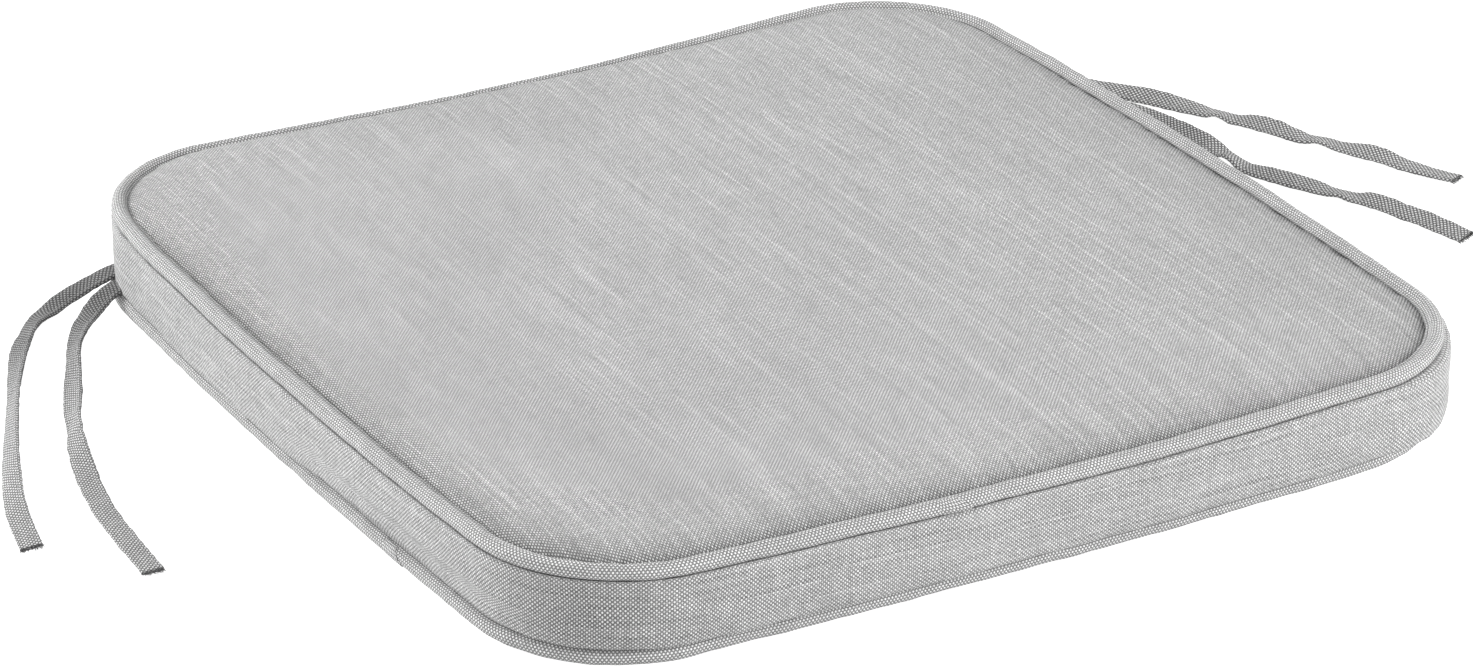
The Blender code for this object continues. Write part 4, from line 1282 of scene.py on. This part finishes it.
def build_zip(tape_mat, coil_mat, canvas_mat):
    half = BAND_END - 3 * MM
    for side, sign in (("upper", 1), ("lower", -1)):
        x = np.linspace(-half, half, 260)
        w = np.linspace(0.7, 7.2, 16) * MM
        bead = 0.35 * MM * np.exp(-((w - 1.0 * MM) / (0.5 * MM)) ** 2)
        G = np.empty((len(x), len(w), 3))
        G[..., 0] = x[:, None]
        G[..., 1] = zy(-0.1 * MM) + bead[None] + 0.05 * MM * waves(x, 81 + sign, 0.01, 0.04)[:, None]
        G[..., 2] = Z_MID + sign * w[None]
        tape = grid_object("zip_%s_tape_weave" % side, G, x, w, flip=sign < 0)
        solid(tape, 0.55 * MM)
        finish(tape, tape_mat, replaces=["zip_tape_" + side])
        # the coil: one filament wound along the tape's edge, flattened
        pitch = 1.35 * MM
        turns = int(2 * ZIP_HALF_LENGTH / pitch)
        per = 14
        t = np.arange(turns * per + 1) / per
        phase = 0.5 if sign > 0 else 0.0
        ang = 2 * math.pi * (t + phase)
        X = -ZIP_HALF_LENGTH + t * pitch
        cz, cy = 1.52 * MM, 1.05 * MM
        Zc = Z_MID + sign * (cz - 0.98 * MM * np.cos(ang))
        Yc = zy(cy) + 0.72 * MM * np.sin(ang)
        C = np.stack([X, Yc, Zc], 1)
        T = np.gradient(C, axis=0)
        T /= np.linalg.norm(T, axis=1)[:, None]
        ref = np.array([1.0, 0.0, 0.0])
        A = np.cross(T, ref)
        A /= np.linalg.norm(A, axis=1)[:, None]
        B = np.cross(T, A)
        a = np.arange(7) * 2 * math.pi / 7
        r = 0.27 * MM * (1 + 0.25 * np.maximum(np.cos(ang), 0))
        G = C[:, None] + (A[:, None] * np.cos(a)[None, :, None] + B[:, None] * np.sin(a)[None, :, None]) * r[:, None, None]
        coil = grid_object("zip_%s_teeth" % side, G, t * 4 * MM, np.arange(8) * 0.25 * MM, wrap_j=True)
        bm = bmesh.new()
        bm.from_mesh(coil.data)
        bmesh.ops.holes_fill(bm, edges=[e for e in bm.edges if e.is_boundary])
        bmesh.ops.recalc_face_normals(bm, faces=bm.faces)
        bm.to_mesh(coil.data)
        bm.free()
        finish(coil, coil_mat, replaces=["zip_coil_" + side])
        # the tape is sewn beside the coil and to the strip beside it
        a0 = np.arange(-ZIP_HALF_LENGTH, ZIP_HALF_LENGTH, 2.2 * MM)
        y = zy(0.28 * MM)
        ends = np.stack([np.stack([a0, 0 * a0 + y, 0 * a0 + Z_MID + sign * 3.0 * MM], 1),
                         np.stack([a0 + 1.7 * MM, 0 * a0 + y, 0 * a0 + Z_MID + sign * 3.0 * MM], 1)], 1)
        row = thread_mesh("zip_%s_tape_stitching" % side, ends, np.tile([0.0, 1.0, 0.0], (len(a0), 1)),
                          0.14 * MM, 0.12 * MM)
        finish(row, tape_mat)


    # past each end of the tape the opening is backed by the strip's own turning
    for label, way in (("open", -1), ("closed", 1)):
        x = way * np.linspace(BAND_END - 2.9 * MM, BAND_END + 1.2 * MM, 8)
        z = np.linspace(-4.6, 4.6, 10) * MM
        G = np.empty((len(x), len(z), 3))
        G[..., 0] = x[:, None]
        G[..., 1] = zy(-0.05 * MM)
        G[..., 2] = Z_MID + z[None]
        tab = grid_object("zip_%s_end_backing" % label, G, x, z)
        if tab.data.polygons[0].normal[1] < 0:
            tab.data.flip_normals()
        # painted shade on the backing, which sits back in the zip's opening
        store_painted_shade(tab, np.full(G.shape[0] * G.shape[1], 0.4))
        solid(tab, 0.4 * MM)
        finish(tab, canvas_mat)


def build_topstitch(thread):
    """The seam that holds the zip: a row of stitches beside each folded edge."""
    for side, sign in (("upper", 1), ("lower", -1)):
        height = 9.2 * MM
        share = 0.945
        step, long = 3.3 * MM, 2.6 * MM
        x = np.arange(-BAND_END + 3 * MM, BAND_END - 5 * MM, step)
        def place(xx):
            order = np.argsort(SEAM_P[:, 0][SEAM_P[:, 1] > 0.15])
            sx = SEAM_P[:, 0][SEAM_P[:, 1] > 0.15][order]
            sy = SEAM_P[:, 1][SEAM_P[:, 1] > 0.15][order]
            yy = np.interp(xx, sx, sy)
            b = bulge_at(np.stack([xx, yy], 1))
            return np.stack([xx, yy + b * share - 0.02 * MM, 0 * xx + Z_MID + sign * (16 * MM - height)], 1)
        ends = np.stack([place(x), place(x + long)], 1)
        row = thread_mesh("rear_%s_topstitch" % side, ends,
                          np.tile([0.0, 1.0, sign * 0.12], (len(x), 1)), 0.20 * MM, 0.22 * MM)
        finish(row, thread)


def rounded_block(name, low, high, radius, segments=3):
    bm = bmesh.new()
    bmesh.ops.create_cube(bm, size=1.0)
    size = Vector(high) - Vector(low)
    bmesh.ops.scale(bm, vec=size, verts=bm.verts)
    bmesh.ops.translate(bm, vec=(Vector(high) + Vector(low)) / 2, verts=bm.verts)
    bmesh.ops.bevel(bm, geom=list(bm.edges), offset=radius, segments=segments, profile=0.5, affect='EDGES')
    mesh = bpy.data.meshes.new(name)
    bm.to_mesh(mesh)
    bm.free()
    mesh.polygons.foreach_set("use_smooth", np.ones(len(mesh.polygons), bool))
    obj = bpy.data.objects.new(name, mesh)
    scene.collection.objects.link(obj)
    return obj


def outline_plate(name, outline, low, high, bevel):
    """A plate from an outline in x and z, between two depths, with round edges."""
    bm = bmesh.new()
    face = bm.faces.new([bm.verts.new((x, low, z)) for x, z in outline])
    out = bmesh.ops.extrude_face_region(bm, geom=[face])
    bmesh.ops.translate(bm, vec=(0, high - low, 0), verts=[v for v in out['geom'] if isinstance(v, bmesh.types.BMVert)])
    bmesh.ops.recalc_face_normals(bm, faces=bm.faces)
    mesh = bpy.data.meshes.new(name)
    bm.to_mesh(mesh)
    bm.free()
    obj = bpy.data.objects.new(name, mesh)
    scene.collection.objects.link(obj)
    mod = obj.modifiers.new("edges", 'BEVEL')
    mod.width = bevel
    mod.segments = 3
    mod.limit_method = 'ANGLE'
    mod.angle_limit = math.radians(50)
    mod.harden_normals = False
    baked(obj)
    obj.data.polygons.foreach_set("use_smooth", np.ones(len(obj.data.polygons), bool))
    obj.data.set_sharp_from_angle(angle=math.radians(40))
    return obj


def joined(name, objs):
    """Several meshes as one object."""
    bm = bmesh.new()
    for o in objs:
        bm.from_mesh(o.data)
    mesh = bpy.data.meshes.new(name)
    bm.to_mesh(mesh)
    bm.free()
    for o in objs:
        bpy.data.objects.remove(o)
    obj = bpy.data.objects.new(name, mesh)
    scene.collection.objects.link(obj)
    mesh.polygons.foreach_set("use_smooth", np.ones(len(mesh.polygons), bool))
    mesh.set_sharp_from_angle(angle=math.radians(40))
    return obj


def build_slider(metal):
    sx = SLIDER_X
    # two plates, broad where the open teeth enter and narrow where they leave
    t = np.linspace(0, 1, 15)
    x = sx + (t - 0.5) * 9.0 * MM
    halfw = (2.75 + 0.85 * np.sin(np.pi * np.clip((t - 0.1) / 0.95, 0, 1)) ** 1.2 + 0.25 * t) * MM
    halfw *= np.sqrt(np.clip(1 - (2 * t - 1) ** 8, 0.35, 1))
    halfw = np.minimum(halfw, 3.55 * MM)
    outline = [(a, Z_MID + b) for a, b in zip(x, halfw)] + [(a, Z_MID - b) for a, b in zip(x[::-1], halfw[::-1])]
    outer = outline_plate("a", outline, zy(2.35 * MM), zy(3.25 * MM), 0.32 * MM)
    inner = outline_plate("b", outline, zy(-1.95 * MM), zy(-1.05 * MM), 0.3 * MM)
    edges = [rounded_block("c%d" % k, (sx - 3.7 * MM, zy(0.75 * MM), Z_MID + s * 3.3 * MM - 0.27 * MM),
                           (sx + 3.7 * MM, zy(2.7 * MM), Z_MID + s * 3.3 * MM + 0.27 * MM), 0.15 * MM)
             for k, s in enumerate((1, -1))]
    post = rounded_block("d", (sx + 0.6 * MM, zy(-1.4 * MM), Z_MID - 0.24 * MM),
                         (sx + 3.6 * MM, zy(2.6 * MM), Z_MID + 0.24 * MM), 0.1 * MM)
    # the arch that holds the pull: a strap bent over, as a swept flat bar
    a = np.linspace(0, math.pi, 19)
    path = np.stack([sx - 2.15 * MM * np.cos(a), zy(3.0 * MM) + 2.45 * MM * np.sin(a) ** 0.7, 0 * a + Z_MID], 1)
    T = np.gradient(path, axis=0)
    T /= np.linalg.norm(T, axis=1)[:, None]
    N = np.cross(T, [0.0, 0.0, 1.0])
    b = np.linspace(0, 2 * math.pi, 13)[:-1]
    wide = 0.62 * MM * np.sign(np.sin(b)) * np.abs(np.sin(b)) ** 0.6
    deep = 0.36 * MM * np.sign(np.cos(b)) * np.abs(np.cos(b)) ** 0.6
    G = path[:, None] + N[:, None] * deep[None, :, None] + np.array([0, 0, 1.0]) * wide[None, :, None]
    arch = grid_object("e", G, np.arange(19) * MM, np.arange(13) * MM, wrap_j=True)
    bm = bmesh.new()
    bm.from_mesh(arch.data)
    bmesh.ops.holes_fill(bm, edges=[e for e in bm.edges if e.is_boundary])
    bmesh.ops.recalc_face_normals(bm, faces=bm.faces)
    bm.to_mesh(arch.data)
    bm.free()
    obj = joined("zip_slider_body", [outer, inner, post, arch] + edges)
    finish(obj, metal, body="zip_slider", replaces=["zip_slider"])

    # the pull: a drop-shaped tab with a slot at its eye and a hole at its tip
    ax, ay, az = sx, zy(PULL_AXIS_U), Z_MID
    t = np.linspace(0, 1, 29)
    x = 0.55 * MM - t * 14.4 * MM
    shape = np.array([(0, 1.45), (0.08, 1.95), (0.22, 2.0), (0.42, 1.75), (0.62, 1.95), (0.82, 2.35), (0.93, 2.1), (1.0, 1.05)])
    halfw = np.interp(t, shape[:, 0], shape[:, 1])
    halfw = np.convolve(np.pad(halfw, 2, mode='edge'), [0.1, 0.2, 0.4, 0.2, 0.1], 'valid') * MM
    outline = [(ax + a, az + b) for a, b in zip(x, halfw)] + [(ax + a, az - b) for a, b in zip(x[::-1], halfw[::-1])]
    tab = outline_plate("zip_pull_tab", outline, ay - 0.42 * MM, ay + 0.42 * MM, 0.2 * MM)

    def cutter(name, low, high):
        return rounded_block(name, low, high, 0.35 * MM, 4)

    for k, (low, high) in enumerate((
            ((ax - 3.9 * MM, ay - 2 * MM, az - 0.95 * MM), (ax - 0.45 * MM, ay + 2 * MM, az + 0.95 * MM)),
            ((ax - 12.6 * MM, ay - 2 * MM, az - 0.85 * MM), (ax - 9.6 * MM, ay + 2 * MM, az + 0.85 * MM)))):
        hole = cutter("hole%d" % k, low, high)
        mod = tab.modifiers.new("hole", 'BOOLEAN')
        mod.operation = 'DIFFERENCE'
        mod.solver = 'EXACT'
        mod.object = hole
        baked(tab)
        bpy.data.objects.remove(hole)
    tab.data.polygons.foreach_set("use_smooth", np.ones(len(tab.data.polygons), bool))
    tab.data.set_sharp_from_angle(angle=math.radians(35))
    finish(tab, metal, body="zip_pull", replaces=["zip_pull"])

    for side, x0 in (("top", ZIP_HALF_LENGTH + 0.5 * MM), ("bottom", -ZIP_HALF_LENGTH - 2.3 * MM)):
        stop = rounded_block("zip_%s_stop_clip" % side, (x0, zy(0.2 * MM), Z_MID - 2.55 * MM),
                             (x0 + 1.8 * MM, zy(2.15 * MM), Z_MID + 2.55 * MM), 0.55 * MM, 4)
        finish(stop, metal, replaces=["zip_%s_stop" % side])


# ---------------------------------------------------------- plainer materials
def foam_material():
    mat, tree, bsdf = new_material("open_cell_foam")
    x, y, vector = cloth_coordinates(tree, 'place')
    cells = tree.nodes.new('ShaderNodeTexVoronoi')
    cells.inputs['Scale'].default_value = 900.0
    tree.links.new(vector, cells.inputs['Vector'])
    d = Field(tree, cells.outputs['Distance'])
    soft = noise(tree, vector, scale=40.0, detail=2.0)
    ramp = tree.nodes.new('ShaderNodeMix')
    ramp.data_type = 'RGBA'
    ramp.inputs[6].default_value = (0.62, 0.57, 0.40, 1)
    ramp.inputs[7].default_value = (0.85, 0.81, 0.66, 1)
    tree.links.new((d * 0.8 + soft * 0.5).socket, ramp.inputs[0])
    tree.links.new(ramp.outputs[2], bsdf.inputs['Base Color'])
    bsdf.inputs['Roughness'].default_value = 0.95
    bump = tree.nodes.new('ShaderNodeBump')
    bump.inputs['Distance'].default_value = 0.3 * MM
    tree.links.new(d.socket, bump.inputs['Height'])
    tree.links.new(bump.outputs[0], bsdf.inputs['Normal'])
    return mat


def fibre_material(name, low, high, scale):
    mat, tree, bsdf = new_material(name)
    x, y, vector = cloth_coordinates(tree, 'place')
    strands = noise(tree, vector, scale=scale, detail=4.0, rough=0.7)
    ramp = tree.nodes.new('ShaderNodeMix')
    ramp.data_type = 'RGBA'
    ramp.inputs[6].default_value = (*low, 1)
    ramp.inputs[7].default_value = (*high, 1)
    tree.links.new(strands.socket, ramp.inputs[0])
    tree.links.new(ramp.outputs[2], bsdf.inputs['Base Color'])
    bsdf.inputs['Roughness'].default_value = 0.95
    bsdf.inputs['Sheen Weight'].default_value = 0.3
    bump = tree.nodes.new('ShaderNodeBump')
    bump.inputs['Distance'].default_value = 0.3 * MM
    tree.links.new(strands.socket, bump.inputs['Height'])
    tree.links.new(bump.outputs[0], bsdf.inputs['Normal'])
    return mat


def tape_material():
    """Zip tape: a fine herringbone twill."""
    mat, tree, bsdf = new_material("zip_tape_twill")
    x, y, vector = cloth_coordinates(tree, 'map')
    u, v = x / (0.42 * MM), y / (0.42 * MM)
    side = (x / (1.6 * MM)).mod(2.0).above(1.0) * 2.0 - 1.0
    twill = ((v + u * side) * math.pi).cos() * 0.5 + 0.5
    heather = noise(tree, pack(tree, u * 0.9, v * 0.2, 0.0), detail=1.0) - 0.5
    shade = (twill * 0.35 + 0.72 + heather * 0.3) * 0.30
    tree.links.new(shade.socket, bsdf.inputs['Base Color'])
    bsdf.inputs['Roughness'].default_value = 0.85
    bump = tree.nodes.new('ShaderNodeBump')
    bump.inputs['Distance'].default_value = 0.08 * MM
    tree.links.new(twill.socket, bump.inputs['Height'])
    tree.links.new(bump.outputs[0], bsdf.inputs['Normal'])
    return mat


def coil_material():
    mat, tree, bsdf = new_material("zip_filament")
    x, y, vector = cloth_coordinates(tree, 'place')
    cloud = noise(tree, vector, scale=300.0, detail=2.0) - 0.5
    tree.links.new(((cloud * 0.25 + 1.0) * 0.33).socket, bsdf.inputs['Base Color'])
    tree.links.new((cloud * 0.2 + 0.42).socket, bsdf.inputs['Roughness'])
    return mat


def metal_material():
    """Painted die casting: satin grey, with fine unevenness."""
    mat, tree, bsdf = new_material("zip_painted_metal")
    x, y, vector = cloth_coordinates(tree, 'place')
    fine = noise(tree, vector, scale=900.0, detail=2.0) - 0.5
    wide = noise(tree, vector, scale=160.0, detail=1.0) - 0.5
    tree.links.new(((fine * 0.12 + wide * 0.18 + 1.0) * 0.30).socket, bsdf.inputs['Base Color'])
    tree.links.new((wide * 0.25 + 0.36).socket, bsdf.inputs['Roughness'])
    bsdf.inputs['Metallic'].default_value = 0.0
    bsdf.inputs['Coat Weight'].default_value = 0.3
    bsdf.inputs['Coat Roughness'].default_value = 0.2
    bump = tree.nodes.new('ShaderNodeBump')
    bump.inputs['Distance'].default_value = 0.02 * MM
    tree.links.new(fine.socket, bump.inputs['Height'])
    tree.links.new(bump.outputs[0], bsdf.inputs['Normal'])
    return mat


def thread_material(name, tone):
    """Sewing thread: two plies laid round each other."""
    mat, tree, bsdf = new_material(name)
    x, y, vector = cloth_coordinates(tree, 'map')
    ply = ((y / (0.35 * MM) + x / (0.25 * MM)) * math.pi).cos() * 0.5 + 0.5
    tree.links.new(((ply * 0.3 + 0.75) * tone).socket, bsdf.inputs['Base Color'])
    bsdf.inputs['Roughness'].default_value = 0.7
    bump = tree.nodes.new('ShaderNodeBump')
    bump.inputs['Distance'].default_value = 0.06 * MM
    tree.links.new(ply.socket, bump.inputs['Height'])
    tree.links.new(bump.outputs[0], bsdf.inputs['Normal'])
    return mat


# --------------------------------------------------------------------- assembly
TONE = 0.53
# painted shade in the ditch by the seam, and a slight painted darkening towards the right edge
top_canvas = canvas("canvas_top", tone=TONE, painted_shade=0.80, slub=0.24, heather=0.34, speckle=0.9,
                    rib=0.10, painted_shade_ramp=(0, 0.10, 0.18, 0.93))
# painted shade where the boxing's seam attribute is high: its lower edge, the front left corner and the zip backing
band_canvas = canvas("canvas_boxing", tone=TONE * 1.035, end_light=1.34, pick_light=0.57, pitch=(0.83 * MM, 0.76 * MM),
                     rib=0.0, painted_shade=0.55, slub=0.05, heather=0.30, pick_slub=0.16, speckle=1.0, wander=0.60)
piping_canvas = canvas("canvas_piping", tone=TONE * 0.99, pitch=(0.98 * MM, 0.70 * MM), end_light=1.52,
                       pick_light=0.52, gap=0.04, slub=0.10, speckle=0.6)
under_canvas = canvas("canvas_under", tone=TONE)
tie_canvas = canvas("canvas_tie", tone=TONE * 0.66, pitch=(0.92 * MM, 0.92 * MM), end_light=1.95,
                    pick_light=0.42, gap=0.0, slub=0.08, heather=0.16)
# a copy of the ties' canvas with painted shade, darkest towards the ties' roots
left_tie_canvas = canvas("canvas_tie_shaded", tone=TONE * 0.72, pitch=(0.92 * MM, 0.92 * MM), end_light=1.85,
                         pick_light=0.45, gap=0.0, slub=0.08, heather=0.16, painted_shade_ramp=(1, 0.06, 0.15, 0.50))
# a near-black copy of the canvas: painted shade at the open cut ends of the ties
cut_end_shade_canvas = canvas("canvas_cut_end_painted_shade", tone=TONE * 0.22, gap=0.3)
seam_thread = thread_material("thread_grey", 0.42)

build_top(top_canvas)
build_bottom(under_canvas)
build_boxing(band_canvas)
build_rear_band(band_canvas, "lower")
build_rear_band(band_canvas, "upper")
for side in ("top", "bottom"):
    build_piping(piping_canvas, side)
    build_piping_cord(fibre_material("cotton_cord_" + side, (0.6, 0.6, 0.57), (0.85, 0.85, 0.82), 1500.0), side)
build_piping_join(piping_canvas, "top", (-0.036, -0.198), 1, 5)
build_piping_join(piping_canvas, "bottom", (-0.198, -0.089), 1, 6)
build_piping_stitches(seam_thread)
build_fillings(foam_material(), fibre_material("polyester_wadding", (0.75, 0.75, 0.74), (0.95, 0.95, 0.94), 700.0))
build_zip(tape_material(), coil_material(), band_canvas)
build_slider(metal_material())
build_topstitch(seam_thread)
for k, (name, route) in enumerate(TIES.items()):
    cloth = left_tie_canvas if name.startswith("tie_left") else tie_canvas
    build_tie(name, route, cloth, seam_thread, cut_end_shade_canvas, 100 + 10 * k)


# ------------------------------------------------------------- floor and light
def build_floor():
    mesh = bpy.data.meshes.new("floor")
    mesh.from_pydata([(-6, -6, -0.4 * MM), (6, -6, -0.4 * MM), (6, 6, -0.4 * MM), (-6, 6, -0.4 * MM)], [], [(0, 1, 2, 3)])
    floor = bpy.data.objects.new("floor", mesh)
    scene.collection.objects.link(floor)
    mat, tree, bsdf = new_material("floor_white")
    bsdf.inputs['Base Color'].default_value = (0.62, 0.62, 0.62, 1)
    bsdf.inputs['Roughness'].default_value = 1.0
    bsdf.inputs['Specular IOR Level'].default_value = 0.0
    bsdf.inputs['Emission Color'].default_value = (1, 1, 1, 1)
    bsdf.inputs['Emission Strength'].default_value = 0.15
    # overexposed to the eye, as in a studio shot, and clear from below
    white = tree.nodes.new('ShaderNodeEmission')
    white.inputs['Strength'].default_value = 0.8
    seen = tree.nodes.new('ShaderNodeAddShader')
    tree.links.new(bsdf.outputs[0], seen.inputs[0])
    tree.links.new(white.outputs[0], seen.inputs[1])
    path = tree.nodes.new('ShaderNodeLightPath')
    first = tree.nodes.new('ShaderNodeMixShader')
    tree.links.new(path.outputs['Is Camera Ray'], first.inputs[0])
    tree.links.new(bsdf.outputs[0], first.inputs[1])
    tree.links.new(seen.outputs[0], first.inputs[2])
    clear = tree.nodes.new('ShaderNodeBsdfTransparent')
    geometry = tree.nodes.new('ShaderNodeNewGeometry')
    mix = tree.nodes.new('ShaderNodeMixShader')
    tree.links.new(geometry.outputs['Backfacing'], mix.inputs[0])
    tree.links.new(first.outputs[0], mix.inputs[1])
    tree.links.new(clear.outputs[0], mix.inputs[2])
    tree.links.new(mix.outputs[0], tree.nodes['Material Output'].inputs['Surface'])
    mesh.materials.append(mat)


def area_light(name, place, target, size, power):
    data = bpy.data.lights.new(name, 'AREA')
    data.shape = 'RECTANGLE'
    data.size, data.size_y = size
    data.energy = power
    obj = bpy.data.objects.new(name, data)
    scene.collection.objects.link(obj)
    obj.location = place
    way = Vector(target) - Vector(place)
    obj.rotation_mode = 'QUATERNION'
    obj.rotation_quaternion = way.to_track_quat('-Z', 'Y')
    return obj


build_floor()
area_light("softbox_left", (-1.5, 1.8, 0.75), (0, 0, 0), (1.4, 0.9), 60.0)
area_light("fill_front", (-1.45, -1.45, 0.6), (0, 0, 0), (1.4, 0.9), 11.0)
area_light("softbox_right", (1.8, -1.5, 0.75), (0, 0, 0), (1.4, 0.9), 54.0)
area_light("overhead", (-0.05, 0.10, 1.2), (0.0, 0.0, 0.04), (0.7, 0.7), 3.2)

world = bpy.data.worlds.new("studio")
scene.world = world
world.use_nodes = True
background = world.node_tree.nodes['Background']
background.inputs['Color'].default_value = (1, 1, 1, 1)
background.inputs['Strength'].default_value = 0.52
scene.view_settings.view_transform = 'Standard'
scene.view_settings.look = 'None'
scene.view_settings.exposure = 0.0
scene.view_settings.gamma = 1.0
